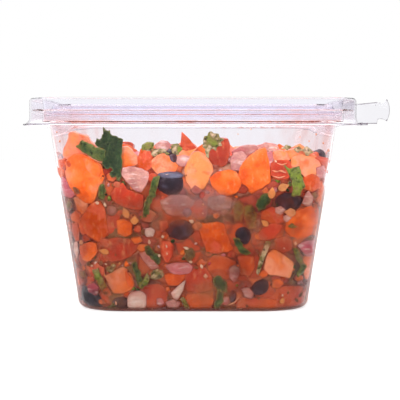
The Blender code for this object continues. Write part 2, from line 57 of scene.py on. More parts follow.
# Plan sizes are half widths along X, and each outline is DEPTH_LESS shorter along Y, as in the solids.
DEPTH_LESS = TUB_HIGH.x - TUB_HIGH.y
RIM_HALF = TUB_HIGH.x
RIM_Z = TUB_HIGH.z
FLANGE_HALF = -LID_LOW.x
FLANGE_Z = LID_LOW.z
LID_TOP_Z = LID_HIGH.z
BASE_HALF = RIM_HALF - 16.2 * MM
WALL_TOP_HALF = RIM_HALF - 6.6 * MM
BAND_HALF = RIM_HALF - 3.9 * MM
SKIRT_HALF = FLANGE_HALF - 2.6 * MM
CHANNEL_HALF = SKIRT_HALF - 6.0 * MM
PANEL_HALF = SKIRT_HALF - 9.4 * MM
BASE_CORNER = 20.5 * MM
WALL_TOP_CORNER = 11.0 * MM
SKIRT_CORNER = 15.9 * MM
BASE_FILLET = 3.8 * MM
BAND_FOOT_Z = RIM_Z - 5.6 * MM
PANEL_Z = LID_TOP_Z - 2.5 * MM
CHANNEL_Z = LID_TOP_Z - 7.5 * MM
EDGE_ROUND = 1.5 * MM
WALL = 0.6 * MM

TAB_Y = -43.6 * MM
TAB_WALL = 0.8 * MM
TAB_ROOT_X = SKIRT_HALF - 0.65 * MM
TAB_PLATE = 8.65               # lengths along the tab from its root, in millimetres
TAB_LONG = 12.65
TAB_PLATE_END_X = TAB_ROOT_X + TAB_PLATE * MM
TAB_LOW_Z = FLANGE_Z + 0.7 * MM
TAB_HIGH_Z = LID_TOP_Z - 1.7 * MM
TAB_LIP_DROP = 0.9 * MM
TAB_LIP_DEPTH = 2.4 * MM
TAB_FOOT_X = TAB_ROOT_X + 4.65 * MM
TAB_FOOT_TALL = 1.1 * MM

CORNER_STEPS = 14
SIDE_STEPS = 12
SHARP_TURN = math.radians(25)  # a profile that turns by less than this keeps its corner
WAVE_DEPTH = 0.07 * MM         # how far the formed sheet strays from its true shape
WAVE_WIDTH = 19 * MM

# The camera stands where the photograph's stood.
CAMERA_PLACE = Vector((2.9, -570.0, 69.8)) * MM
CAMERA_PITCH = math.radians(2.54)
CAMERA_LENS = 117.0
SENSOR = 36.0
PICTURE = 400
FOCAL = CAMERA_LENS / SENSOR * PICTURE
PIXEL = 0.404 * MM             # what one pixel covers on the front wall
SLACK = 0.15                   # how softly an outline bends at its corners

# The salsa.
LIQUID_Z = 54.0 * MM
HEAP_Z = 59.5 * MM
HEAP_SWELL = 5.0 * MM
HEAP_ROOF_Z = BAND_FOOT_Z - 1.2 * MM
TOUCH = 0.15 * MM              # how far a piece that is pressed to the wall reaches into it
JUICE_TOUCH = 0.42 * MM        # the juice reaches further, so that no clear edge shows round it
PRESSED_WIDER = 1.04           # how much wider than its outline a soft piece is drawn, to close up
CORE_INSET = 1.8 * MM
CLEAR_DEPTH = 1.1 * MM         # how far one sees into the cloudy juice unhindered
CLOUD_DEPTH = 4.6 * MM         # and how soon what lies deeper is lost in it
SOFT_EDGE = 0.22               # how much of a sunk piece's rim is lost in the juice
RIM_FADE = 1.2 * MM            # how far a piece's rim colour reaches in
DIM_DEPTH = 11 * MM            # how far under its level the juice takes light away
PIECE_DIM = (0.69, 0.69, 0.62, 1.0)    # what is left of red, green and blue on pieces
JUICE_DIM = (0.84, 0.84, 0.8, 1.0)     # and on the juice itself
HAZE_X = (2.0 * MM, 19.0 * MM)    # middle and reach of a paler drift of juice
HAZE_Z = (46.5 * MM, 7.5 * MM)
HAZE_SHARE = 0.3
SHOWN_Y = -24 * MM             # in front of this, chance adds only tomato to what the photograph shows
SEED = 41                      # of all that chance places, turns and shapes


# Pieces that the front shows. Outlines, places and sizes are in pixels of the photograph.
# Name, tone from deep to pale, millimetres behind the wall, cloudiness, outline.
FRONT_TOMATOES = (
    ("top_left_lobe", 0.84, 2.0, 0.0, (
        (61, 156), (62, 149), (67, 140), (68, 134), (74, 133), (80, 135), (88, 137), (91, 143), (96, 147),
        (104, 153), (108, 160), (96, 164), (84, 160), (70, 162))),
    ("big_cube", 0.66, 0.15, 0.0, (
        (64, 167), (68, 159), (74, 155), (79, 154), (88, 157), (96, 162), (101, 165), (102, 171),
        (104, 177), (101, 184), (98, 189), (96, 196), (92, 203), (84, 202), (77, 196), (70, 187),
        (66, 179))),
    ("big_cube_face", 0.76, 0.0, 0.0, (
        (83, 158), (90, 160), (99, 165), (101, 172), (99, 177), (92, 175), (86, 168))),
    ("red_flesh", 0.2, 0.1, 0.0, (
        (111, 194), (117, 186), (123, 183), (127, 189), (136, 193), (144, 196), (143, 202), (142, 210),
        (131, 209), (121, 206), (113, 201))),
    ("back_pink", 0.8, 1.6, 0.0, (
        (121, 148), (127, 147), (132, 150), (137, 157), (138, 165), (133, 168), (121, 168))),
    ("coral_left", 0.34, 1.3, 0.0, (
        (138, 159), (141, 149), (149, 151), (153, 158), (151, 168), (146, 172), (139, 169))),
    ("salmon_dome", 0.88, 0.7, 0.0, (
        (149, 162), (158, 155), (164, 154), (171, 158), (178, 166), (177, 172), (165, 172), (155, 175),
        (149, 174))),
    ("spike", 0.34, 2.6, 0.15, ((182, 133), (181, 142), (179, 149), (187, 151), (196, 148), (190, 140))),
    ("deep_cube", 0.42, 0.0, 0.0, (
        (86, 212), (89, 206), (94, 203), (100, 202), (104, 207), (106, 216), (108, 232), (104, 239),
        (98, 242), (91, 238), (80, 234), (79, 222), (83, 215))),
    ("left_salmon", 0.82, 0.9, 0.3, ((73, 198), (82, 196), (88, 203), (87, 212), (82, 216), (76, 210))),
    ("soft_red", 0.14, 1.2, 0.2, (
        (107, 212), (113, 209), (121, 213), (118, 224), (119, 237), (109, 238), (106, 226))),
    ("soft_orange", 0.6, 0.5, 0.12, (
        (117, 221), (124, 219), (132, 223), (132, 233), (126, 237), (118, 234))),
    ("edge_orange", 0.45, 0.3, 0.0, ((72, 223), (77, 222), (79, 231), (79, 241), (75, 241), (72, 232))),
    ("low_left_orange", 0.58, 0.1, 0.0, (
        (79, 248), (83, 244), (90, 242), (96, 244), (98, 251), (94, 257), (89, 262), (82, 260))),
    ("low_red", 0.13, 0.2, 0.05, (
        (106, 241), (115, 238), (128, 239), (137, 242), (139, 248), (135, 253), (128, 258), (119, 261),
        (110, 262), (105, 256), (104, 247))),
    ("peach", 0.82, 0.3, 0.2, (
        (105, 276), (113, 272), (122, 268), (127, 270), (132, 277), (134, 285), (130, 291), (121, 294),
        (113, 293), (109, 286))),
    ("peach_side", 0.5, 0.1, 0.0, ((125, 270), (131, 277), (134, 286), (129, 288), (126, 280))),
    ("coral_lump", 0.25, 0.1, 0.0, (
        (162, 242), (169, 241), (173, 246), (173, 254), (169, 262), (165, 262), (161, 252))),
    ("low_orange", 0.45, 0.15, 0.0, (
        (164, 275), (170, 273), (185, 274), (184, 280), (178, 285), (168, 286))),
    ("low_red_middle", 0.15, 0.4, 0.12, (
        (186, 271), (192, 265), (205, 267), (212, 277), (212, 289), (200, 293), (187, 291), (183, 282))),
    ("orange_slab", 0.45, 0.0, 0.0, (
        (197, 224), (217, 223), (224, 224), (227, 235), (233, 249), (228, 252), (215, 253), (207, 252),
        (203, 242), (200, 233))),
    ("red_wedge", 0.25, 0.2, 0.0, (
        (258, 233), (266, 226), (276, 223), (283, 226), (279, 233), (274, 239), (267, 241), (260, 240))),
    ("right_orange", 0.57, 0.1, 0.0, (
        (287, 222), (296, 211), (309, 206), (316, 205), (320, 212), (319, 224), (317, 231), (310, 236),
        (300, 240), (292, 237), (286, 230))),
    ("cloudy_red", 0.1, 0.9, 0.3, ((275, 240), (284, 236), (292, 240), (293, 249), (284, 253), (276, 250))),
    ("salmon_cube", 0.86, 0.0, 0.0, (
        (268, 253), (275, 250), (285, 256), (294, 263), (293, 270), (289, 278), (279, 276), (267, 274),
        (264, 268))),
    ("dull_square", 0.42, 0.5, 0.3, (
        (238, 257), (246, 255), (254, 257), (255, 268), (250, 276), (240, 275))),
    ("red_brown_chunk", 0.06, 1.0, 0.1, (
        (220, 139), (228, 140), (230, 146), (229, 156), (227, 164), (219, 168), (212, 163), (207, 156),
        (208, 149))),
    ("orange_wedge", 0.63, 0.0, 0.0, (
        (240, 168), (244, 162), (250, 156), (257, 151), (265, 148), (267, 153), (269, 162), (270, 174),
        (270, 182), (262, 188), (252, 193), (244, 188), (239, 178))),
    ("orange_cube", 0.61, 0.1, 0.0, (
        (210, 178), (218, 172), (228, 170), (236, 173), (240, 179), (241, 187), (236, 193), (227, 196),
        (219, 194), (213, 187))),
    ("pale_chunk", 1.0, 0.1, 0.0, (
        (185, 170), (188, 160), (194, 153), (199, 152), (207, 158), (212, 165), (213, 171), (209, 178),
        (205, 187), (199, 192), (193, 191), (187, 182))),
    ("seedy_salmon", 0.9, 0.8, 0.0, (
        (273, 153), (280, 150), (287, 153), (290, 160), (281, 164), (273, 162))),
    ("seedy_red", 0.2, 0.2, 0.0, (
        (271, 163), (280, 159), (290, 162), (293, 172), (288, 179), (278, 180), (271, 175))),
    ("right_salmon", 0.86, 0.6, 0.0, (
        (292, 158), (301, 155), (311, 157), (320, 162), (322, 170), (317, 175), (306, 178), (298, 172),
        (291, 166))),
    ("coral_top", 0.92, 1.9, 0.0, (
        (284, 152), (296, 149), (308, 152), (318, 157), (310, 161), (296, 161), (286, 158))),
    ("right_low_orange", 0.43, 0.1, 0.0, (
        (302, 178), (312, 174), (320, 178), (321, 188), (312, 192), (303, 188))),
    ("cloudy_salmon", 0.32, 0.8, 0.42, (
        (188, 203), (200, 199), (208, 205), (206, 218), (193, 221), (187, 212))),
    ("red_under_bean", 0.28, 0.6, 0.15, (
        (262, 211), (272, 207), (282, 211), (285, 222), (272, 225), (261, 219))),
    ("low_right_red", 0.3, 0.7, 0.38, (
        (268, 292), (285, 286), (305, 287), (316, 292), (312, 303), (295, 308), (272, 307))),
    ("low_amber", 0.42, 0.5, 0.35, (
        (244, 299), (262, 298), (282, 301), (283, 309), (262, 311), (246, 310))),
    ("left_low_red", 0.25, 0.6, 0.2, ((84, 264), (95, 262), (104, 268), (105, 280), (92, 277))),
    ("low_middle_orange", 0.46, 0.4, 0.2, (
        (188, 294), (206, 294), (214, 300), (210, 309), (190, 309), (184, 302))),
    ("low_brown_red", 0.2, 0.9, 0.45, (
        (140, 286), (158, 284), (168, 291), (166, 306), (150, 310), (140, 300))),
    ("right_edge_red", 0.8, 0.5, 0.1, (
        (306, 256), (314, 252), (317, 262), (314, 281), (306, 279), (301, 266))),
    ("cloudy_orange", 0.5, 0.9, 0.5, (
        (206, 256), (222, 256), (236, 262), (233, 279), (216, 281), (205, 270))),
)
FRONT_ONIONS = (
    ("left_magenta", 0.2, 0.2, 0.0, (
        (58, 174), (62, 176), (66, 180), (70, 187), (74, 194), (72, 198), (66, 197), (61, 191))),
    ("pale_cube", 0.66, 0.0, 0.0, (
        (123, 168), (133, 167), (142, 169), (148, 172), (149, 177), (145, 187), (141, 192), (136, 191),
        (131, 186), (126, 181), (122, 175))),
    ("pink_back", 0.7, 2.0, 0.0, ((155, 145), (161, 141), (168, 141), (172, 146), (167, 151), (158, 151))),
    ("whitish", 0.74, 1.4, 0.0, ((177, 157), (183, 155), (190, 158), (189, 165), (181, 167), (176, 163))),
    ("mauve_top", 0.62, 1.1, 0.0, (
        (230, 160), (234, 153), (241, 152), (247, 155), (248, 163), (241, 171), (232, 169))),
    ("lilac_sliver", 0.42, 0.9, 0.0, ((267, 153), (272, 151), (274, 162), (271, 168), (268, 164))),
    ("right_mauve", 0.56, 0.5, 0.1, ((317, 168), (324, 166), (327, 171), (325, 178), (317, 177))),
    ("white_triangle", 0.68, 0.1, 0.05, (
        (302, 203), (305, 195), (309, 191), (313, 197), (312, 205), (307, 206))),
    ("cloudy_mauve", 0.62, 0.7, 0.4, (
        (160, 201), (172, 195), (186, 196), (198, 203), (196, 212), (182, 217), (166, 214))),
    ("cloudy_mauve_right", 0.62, 0.7, 0.45, (
        (208, 198), (222, 195), (232, 199), (230, 208), (216, 211), (208, 206))),
    ("white_bit", 0.97, 0.1, 0.0, ((146, 229), (151, 228), (155, 231), (153, 236), (147, 237), (145, 233))),
    ("mauve_strip", 0.6, 0.3, 0.3, (
        (139, 253), (147, 251), (155, 261), (159, 268), (151, 269), (143, 261))),
    ("pink_strip", 0.44, 0.0, 0.0, (
        (165, 266), (174, 263), (188, 263), (193, 267), (189, 273), (181, 275), (171, 273))),
    ("white_shard", 0.9, 0.0, 0.0, (
        (171, 293), (178, 286), (185, 281), (183, 291), (177, 300), (173, 297))),
    ("white_blob", 0.97, 0.4, 0.1, (
        (128, 297), (133, 292), (141, 291), (146, 296), (146, 306), (141, 311), (131, 310), (127, 304))),
    ("corner_magenta", 0.08, 0.0, 0.0, ((88, 285), (94, 283), (99, 288), (97, 295), (89, 295))),
    ("pink_bit", 0.5, 0.1, 0.0, ((157, 299), (162, 298), (164, 303), (160, 306), (157, 304))),
    ("mauve_low", 0.64, 0.2, 0.0, ((166, 302), (173, 299), (180, 303), (177, 308), (168, 307))),
    ("right_magenta", 0.16, 0.1, 0.0, (
        (298, 246), (306, 241), (315, 240), (318, 246), (316, 254), (306, 256))),
    ("grey_white", 0.62, 0.1, 0.2, ((241, 289), (249, 287), (254, 294), (252, 299), (245, 297))),
    ("soft_mauve", 0.62, 0.7, 0.3, (
        (229, 268), (235, 265), (240, 269), (238, 278), (233, 283), (229, 277))),
    ("pink_lump", 0.76, 0.3, 0.0, ((275, 208), (281, 206), (286, 210), (281, 215), (276, 213))),
    ("pink_low", 0.8, 0.1, 0.0, ((283, 216), (288, 214), (292, 218), (287, 222), (283, 220))),
    ("mauve_middle_low", 0.1, 0.3, 0.3, ((221, 297), (229, 297), (231, 303), (226, 306), (221, 303))),
    ("skin_film_pale", 0.76, 3.2, 0.0, (
        (256, 147), (266, 143), (276, 145), (280, 151), (270, 156), (258, 155))),
    ("skin_film_dull", 0.56, 2.5, 0.1, (
        (232, 152), (242, 146), (255, 145), (259, 151), (248, 157), (236, 158))),
    ("edge_pale", 0.8, 0.3, 0.0, ((74, 243), (77, 242), (79, 251), (77, 259), (74, 251))),
)
FRONT_GREENS = (
    ("big_leaf", 0.0, 0.0, 0.0, (
        (103, 126), (107, 131), (110, 130), (111, 134), (123, 139), (122, 149), (122, 160), (121, 170),
        (121, 177), (120, 182), (117, 181), (116, 176), (112, 178), (109, 174), (113, 170), (111, 167),
        (106, 169), (103, 166), (102, 160), (104, 153), (103, 149), (98, 147), (95, 144), (97, 139),
        (101, 139), (103, 134))),
    ("top_strip", 0.34, 0.05, 0.0, (
        (82, 140), (76, 147), (88, 155), (101, 162), (106, 158), (105, 150), (92, 145))),
    ("slanting_strip", 0.32, 0.0, 0.0, (
        (153, 177), (160, 176), (157, 188), (154, 197), (150, 205), (149, 217), (143, 217), (143, 206),
        (147, 197), (150, 188))),
    ("olive_blur", 0.3, 0.8, 0.0, ((99, 186), (104, 184), (106, 192), (104, 200), (99, 200), (98, 193))),
    ("left_blur", 0.4, 0.6, 0.25, ((66, 200), (70, 199), (72, 207), (69, 213), (66, 208))),
    ("herb_left", 0.98, 1.5, 0.0, ((151, 154), (158, 149), (164, 149), (169, 154), (161, 156), (154, 158))),
    ("herb_right", 0.86, 1.8, 0.0, ((171, 147), (177, 144), (182, 149), (178, 155), (172, 153))),
    ("frilly_herb", 0.92, 0.5, 0.0, (
        (203, 140), (204, 137), (207, 136), (208, 133), (212, 132), (215, 134), (219, 133), (221, 137),
        (224, 139), (221, 142), (222, 146), (218, 147), (216, 151), (212, 149), (209, 152), (209, 158),
        (206, 157), (205, 150), (202, 147), (204, 143))),
    ("lime_bit", 0.97, 0.0, 0.0, ((106, 268), (112, 264), (116, 266), (113, 271), (107, 273))),
    ("green_strip_low", 0.74, 0.0, 0.0, (
        (92, 270), (98, 268), (101, 276), (107, 287), (102, 291), (98, 284))),
    ("v_left", 0.25, 0.0, 0.0, ((131, 263), (136, 262), (140, 272), (143, 281), (138, 285), (134, 273))),
    ("v_right", 0.82, 0.05, 0.0, (
        (139, 282), (143, 281), (147, 273), (150, 276), (147, 284), (142, 288), (138, 286))),
    ("lime_piece", 0.97, 0.0, 0.0, (
        (150, 273), (157, 269), (163, 270), (164, 276), (156, 279), (151, 278))),
    ("dark_curl", 0.15, 0.05, 0.0, (
        (144, 247), (149, 245), (154, 251), (160, 255), (161, 262), (158, 265), (153, 260), (147, 255))),
    ("cloudy_green", 0.15, 0.6, 0.15, (
        (184, 250), (190, 248), (195, 252), (194, 259), (188, 262), (184, 256))),
    ("dark_leaf_middle", 0.15, 0.0, 0.0, (
        (233, 238), (239, 237), (243, 246), (250, 252), (246, 255), (240, 252), (235, 246))),
    ("olive_cloud", 0.45, 0.9, 0.25, (
        (243, 206), (252, 204), (257, 214), (256, 228), (249, 229), (244, 218))),
    ("olive_cloud_left", 0.4, 1.1, 0.35, ((232, 203), (241, 200), (245, 210), (242, 222), (234, 221))),
    ("green_eye", 0.5, 0.0, 0.0, ((288, 226), (292, 224), (297, 226), (293, 229))),
    ("right_strip", 0.45, 0.0, 0.0, (
        (293, 249), (297, 248), (301, 257), (306, 266), (303, 273), (298, 278), (296, 273), (300, 267),
        (296, 259))),
    ("cluster_top", 0.2, 0.1, 0.0, (
        (213, 279), (218, 275), (224, 279), (228, 286), (227, 292), (220, 293), (215, 287))),
    ("cluster_low", 0.2, 0.2, 0.0, (
        (217, 290), (223, 290), (224, 300), (218, 309), (213, 309), (216, 300))),
    ("bright_leaf", 0.63, 0.0, 0.0, (
        (284, 165), (290, 169), (299, 167), (301, 174), (303, 181), (305, 187), (299, 195), (295, 197),
        (291, 196), (293, 189), (291, 179), (289, 174))),
    ("dark_leaf_right", 0.15, 0.0, 0.0, (
        (256, 204), (259, 198), (266, 193), (271, 194), (270, 202), (265, 208), (258, 210))),
    ("top_green_a", 1.0, 1.4, 0.0, ((281, 149), (287, 145), (292, 147), (288, 150))),
    ("top_green_b", 1.0, 1.0, 0.0, ((294, 149), (299, 146), (304, 150), (298, 153))),
    ("top_green_c", 1.0, 1.0, 0.0, ((302, 151), (307, 147), (313, 152), (308, 156))),
    ("edge_olive", 0.5, 0.3, 0.4, ((68, 238), (72, 237), (74, 248), (75, 258), (71, 252))),
    ("low_left_green", 0.4, 0.5, 0.2, ((79, 272), (84, 271), (86, 277), (81, 278))),
    ("bottom_green", 0.0, 0.3, 0.0, ((108, 307), (113, 303), (120, 306), (118, 310), (110, 310))),
    ("right_green", 0.45, 0.5, 0.3, ((311, 194), (316, 192), (319, 196), (314, 199))),
)
FRONT_STEMS = (
    ("yellow_stem", 0.97, 0.0, 0.0, (
        (266, 241), (271, 243), (264, 260), (259, 275), (256, 273), (260, 257))),
    ("lime_stem_low", 0.9, 0.1, 0.0, ((180, 299), (184, 297), (190, 308), (186, 310))),
    ("amber_rind", 0.9, 1.4, 0.0, ((141, 151), (142, 145), (147, 142), (154, 143), (153, 149), (147, 153))),
)
# Name, tone, millimetres behind the wall, cloudiness, place, width, height, turn in degrees.
FRONT_BEANS = (
    ("top_bean", 0.0, 0.0, 0.0, (170, 183), 31, 25, -3),
    # A painted sheen: a blue-grey oval over the top bean, standing in for the light that its wet top mirrors.
    ("painted_bean_sheen", 0.72, -0.08, 0.0, (170.5, 175.2), 27, 9, -2),
    ("cloudy_bean", 0.1, 0.1, 0.1, (180, 229), 31, 24, 4),
    ("corner_bean", 0.0, 0.0, 0.0, (90, 297), 30, 17, -38),
    ("bottom_bean", 0.1, 0.1, 0.0, (121, 303), 19, 15, 0),
    ("middle_bean", 0.05, 0.1, 0.0, (243, 235), 16, 19, 20),
    ("low_bean", 0.15, 0.1, 0.05, (260, 287), 20, 16, 35),
    ("bottom_end_bean", 0.1, 0.2, 0.1, (232, 297), 8, 14, -15),
    ("right_bean", 0.3, 0.0, 0.0, (289, 201), 31, 20, 0),
    ("top_dark_bit", 0.58, 1.0, 0.0, (173, 158), 8, 9, 20),
    ("blue_bubble", 1.0, 0.0, 0.1, (187, 212), 10, 10, 0),
    ("pink_ring", 0.9, 0.3, 0.75, (112, 210), 11, 11, 0),
)
# Tone, place, width, height, turn in degrees.
FRONT_SEEDS = (
    (0.5, (125.6, 212.8), 7, 12, 25), (0.5, (134.5, 220), 8.5, 9, 0), (0.4, (103.8, 251.5), 6, 11, 75),
    (0.45, (271.8, 192.7), 8, 12, -8), (0.25, (283.8, 187), 8, 12, -70), (0.6, (290, 212.4), 9, 12, 85),
    (0.5, (264.6, 223), 6, 9, 50), (0.4, (282, 300.7), 5, 7, -20), (0.9, (96.9, 202.8), 3.4, 4.4, 80),
    (0.9, (105, 204.5), 3, 5, 15), (1.0, (162.7, 236.4), 3, 3.4, 0), (1.0, (149.3, 241.8), 3, 5, 10),
    (0.95, (159, 255.6), 3, 3.4, 40), (0.95, (190.4, 261.9), 3, 4, 70), (0.9, (191.3, 221.3), 4, 5.4, 60),
    (1.0, (185.9, 248), 3, 6, 70), (0.8, (205.6, 275.8), 4.6, 4.8, 0), (0.95, (201.5, 266), 3, 5, 20),
    # The row at (167.7, 174.6) is no seed but a painted highlight: a white glint on the top bean.
    (0.8, (295.6, 243.3), 3, 4.4, 0), (1.0, (167.7, 174.6), 1.5, 5.5, 85),
    (1.0, (105.8, 263.9), 1.4, 2.6, 60),
    (0.9, (282.5, 295.2), 2.4, 2.6, 0), (0.8, (240.5, 309), 3, 4, 60), (0.9, (92, 265.5), 2, 2.6, 60),
    # The rows at (166.4, 246) and (167, 253.4) are painted highlights: glints on the coral lump.
    (1.0, (166.4, 246), 1.6, 4, 20), (0.9, (167, 253.4), 1.6, 3, 10), (0.8, (116, 303), 2.4, 4, 10),
    (0.9, (152.3, 309.4), 3.4, 3, 0), (0.7, (81.5, 242), 4, 6, 10), (0.95, (275.6, 161), 2, 3, 40),
    (1.0, (276, 148.2), 1.6, 3, 60), (0.7, (203, 204.4), 2.4, 3, 0),
    (0.7, (316, 134), 1.6, 3, 10), (0.75, (323, 143), 1.6, 2.4, 0), (0.75, (309, 141), 1.4, 1.6, 0),
    (0.75, (300, 137), 1.4, 1.4, 0), (0.7, (328, 150), 1.6, 3, 15), (0.75, (60, 141), 1.8, 3, -15),
    (0.75, (57, 132), 1.4, 2, 0), (0.9, (238, 134), 1.4, 1.4, 0), (0.9, (251, 129), 1.4, 1.6, 0),
)
FRONT_SPECKS = (
    (0.3, (76.3, 190.3), 4.6, 9, 42), (0.0, (88.6, 263.7), 4.6, 4.8, 0), (0.2, (101, 262.8), 4.4, 4.8, 0),
    (0.0, (105.5, 292.8), 4.2, 6, 80), (0.0, (115.4, 254.7), 1.6, 2.2, 0), (0.0, (143, 232), 4, 6, 8),
    (0.2, (73.8, 222), 2.2, 2.4, 0), (0.1, (203.5, 221.5), 2, 5, 60), (0.2, (196, 267.5), 3, 5, 80),
    (0.0, (288.2, 292.7), 2, 3, -20), (0.0, (300.7, 294.5), 2.6, 6, -25), (0.0, (296.5, 300), 3, 5, 30),
    (0.1, (247, 306), 3, 3.4, 0), (0.1, (258.8, 298), 3, 3.4, 0), (0.1, (263, 310.4), 2, 6, 85),
    (0.2, (112.7, 202.8), 2.4, 5, -20), (0.1, (260, 254), 3, 6, -25), (0.2, (208.6, 252.6), 1.6, 3, 80),
)
THREAD_HALF = 0.28             # half the width of a thin line, and how softly it bends
THREAD_SLACK = 0.36
# Thin pale lines: a curved scrap of onion skin, and the seams in seedy pieces of tomato.
FRONT_THREADS = (
    ((228, 305), (234, 303), (239, 297)),
    ((272, 170), (276, 172), (281, 170), (286, 173)),
    ((273, 176), (279, 178), (285, 176)),
    ((277, 163), (282, 165), (287, 163)),
    ((88, 156), (95, 160), (102, 163)),
)


def srgb(red, green, blue):
    """A colour given as a picture shows it, as the linear colour that a shader takes."""
    shares = [value / 255 for value in (red, green, blue)]
    return tuple(s / 12.92 if s <= 0.04045 else ((s + 0.055) / 1.055) ** 2.4 for s in shares) + (1.0,)


def finish_piece(item, material, slot_name, *nodes):
    """Give a finished piece its material and its body, and hide the solids that it stands for; the slot name
    is not used.
    """
    item.data.materials.clear()
    item.data.materials.append(material)
    item.data.shade_smooth()
    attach(item, "root")
    if nodes:
        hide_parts(*nodes)
    return item


def link_object(name, data):
    """A new object of the scene, at the origin."""
    item = bpy.data.objects.new(name, data)
    bpy.context.scene.collection.objects.link(item)
    return item


def shape_object(name, shape):
    """An object of a finished bmesh."""
    mesh = bpy.data.meshes.new(name)
    shape.to_mesh(mesh)
    shape.free()
    return link_object(name, mesh)


def mesh_object(name, points, faces):
    """An object of the given points and faces, with its faces turned outwards."""
    mesh = bpy.data.meshes.new(name)
    mesh.from_pydata([tuple(point) for point in points], [], [tuple(face) for face in faces])
    shape = bmesh.new()
    shape.from_mesh(mesh)
    bmesh.ops.recalc_face_normals(shape, faces=shape.faces)
    shape.to_mesh(mesh)
    shape.free()
    return link_object(name, mesh)


def mesh_points(mesh):
    """The places of a mesh's points."""
    places = np.zeros(len(mesh.vertices) * 3)
    mesh.vertices.foreach_get("co", places)
    return places.reshape(-1, 3)


def store_values(mesh, name, values):
    """Store one value for each point of a mesh, for a material to read."""
    attribute = mesh.attributes.new(name, "FLOAT", "POINT")
    attribute.data.foreach_set("value", np.asarray(values, np.float32))


def ring_faces(levels, count, first=0):
    """Four-sided faces between closed loops of equal length, level by level."""
    faces = []
    for level in range(levels - 1):
        low = first + level * count
        for index in range(count):
            after = (index + 1) % count
            faces.append((low + index, low + after, low + count + after, low + count + index))
    return faces


def stacked_body(name, loops):
    """A closed body through loops of equal length, with a cap at each end."""
    count = len(loops[0])
    last = (len(loops) - 1) * count
    faces = [tuple(range(count))] + ring_faces(len(loops), count) + [tuple(range(last, last + count))]
    return mesh_object(name, np.vstack(loops), faces)


# Shapes of the clear tub and the clear lid

def rounded_loop(half, z, corner, corner_steps=CORNER_STEPS, side_steps=SIDE_STEPS):
    """Points of a rounded rectangle at height z, with its straight sides cut into short lengths."""
    points = []
    for quarter, (side_x, side_y) in enumerate(((1, 1), (-1, 1), (-1, -1), (1, -1))):
        centre = Vector((side_x * (half - corner), side_y * (half - DEPTH_LESS - corner)))
        for step in range(corner_steps + 1):
            angle = math.radians(90) * (quarter + step / corner_steps)
            points.append((centre.x + corner * math.cos(angle), centre.y + corner * math.sin(angle), z))
        next_x, next_y = ((-1, 1), (-1, -1), (1, -1), (1, 1))[quarter]
        after = Vector((next_x * (half - corner), next_y * (half - DEPTH_LESS - corner)))
        angle = math.radians(90) * (quarter + 1)
        out = Vector((math.cos(angle), math.sin(angle))) * corner
        for step in range(1, side_steps):
            spot = centre.lerp(after, step / side_steps) + out
            points.append((spot.x, spot.y, z))
    return points


def offset_profile(profile, distance):
    """The open profile of (half, z) points moved sideways by the distance, with mitred corners."""
    moved = []
    for index, (half, z) in enumerate(profile):
        before = profile[max(index - 1, 0)]
        after = profile[min(index + 1, len(profile) - 1)]
        into = Vector((half - before[0], z - before[1]))
        out = Vector((after[0] - half, after[1] - z))
        if into.length == 0:
            into = out
        if out.length == 0:
            out = into
        normal_in = Vector((-into.y, into.x)).normalized()
        normal_out = Vector((-out.y, out.x)).normalized()
        middle = (normal_in + normal_out).normalized()
        reach = distance / max(middle.dot(normal_in), 0.5)
        moved.append((half + middle.x * reach, z + middle.y * reach))
    return moved


def soften_profile(profile, radius, steps=5, longest=5.0 * MM):
    """The profile with its corners turned into small arcs and its long runs cut into short ones."""
    soft = [Vector(profile[0])]
    for index in range(1, len(profile) - 1):
        corner = Vector(profile[index])
        back = Vector(profile[index - 1]) - corner
        ahead = Vector(profile[index + 1]) - corner
        turn = math.pi - back.angle(ahead)
        if turn < SHARP_TURN:
            soft.append(corner)
            continue
        reach = min(radius * math.tan(turn / 2), 0.42 * back.length, 0.42 * ahead.length)
        start = corner + back.normalized() * reach
        end = corner + ahead.normalized() * reach
        soft.append(corner + back.normalized() * min(reach * 1.5, 0.48 * back.length))
        for step in range(steps + 1):
            share = step / steps
            soft.append(start * (1 - share) ** 2 + corner * 2 * share * (1 - share) + end * share ** 2)
        soft.append(corner + ahead.normalized() * min(reach * 1.5, 0.48 * ahead.length))
    soft.append(Vector(profile[-1]))
    full = [soft[0]]
    for point in soft[1:]:
        gap = point - full[-1]
        if gap.length < 1e-7:
            continue
        parts = max(int(gap.length / longest), 1)
        start = full[-1]
        full += [start + gap * (part + 1) / parts for part in range(parts)]
    return [(point.x, point.y) for point in full]


def wall_half(z):
    """Half width of the tapered wall's outer face at height z."""
    return BASE_HALF + (WALL_TOP_HALF - BASE_HALF) * (z - BASE_FILLET) / (BAND_FOOT_Z - BASE_FILLET)


def wall_corner(z):
    """Corner radius of the tapered wall's outer face at height z."""
    return BASE_CORNER + (WALL_TOP_CORNER - BASE_CORNER) * (z - BASE_FILLET) / (BAND_FOOT_Z - BASE_FILLET)


def tub_corner(half, z):
    """Corner radius of any outline of the tub, changing smoothly between the wall and the band."""
    level = min(max(z, BASE_FILLET), BAND_FOOT_Z)
    on_wall = wall_corner(level) + half - wall_half(level)
    on_band = SKIRT_CORNER + half - SKIRT_HALF
    if z < BAND_FOOT_Z - 1.5 * WALL:
        return on_wall
    share = min(max((half - WALL_TOP_HALF + WALL) / (BAND_HALF - WALL_TOP_HALF), 0.0), 1.0)
    return on_wall + (on_band - on_wall) * share


def lid_corner(half, z):
    """Corner radius of any outline of the lid, parallel to its side."""
    return SKIRT_CORNER + half - SKIRT_HALF


def sheet_object(name, profile, corner_rule):
    """A closed solid turned round the plan from a closed profile, a little wavy as formed sheet is."""
    loops = [rounded_loop(half, z, corner_rule(half, z)) for half, z in profile]
    count = len(loops[0])
    last = (len(loops) - 1) * count
    points = [Vector(point) for loop in loops for point in loop]
    faces = [tuple(range(count)), tuple(range(last, last + count))] + ring_faces(len(loops), count)
    for point in points:
        wave = noise.noise(point / WAVE_WIDTH + Vector((4.1, 2.7, 8.3))) - 1.0
        share = 1.0 + wave * WAVE_DEPTH / FLANGE_HALF
        point.x *= share
        point.y *= share
    return mesh_object(name, points, faces)


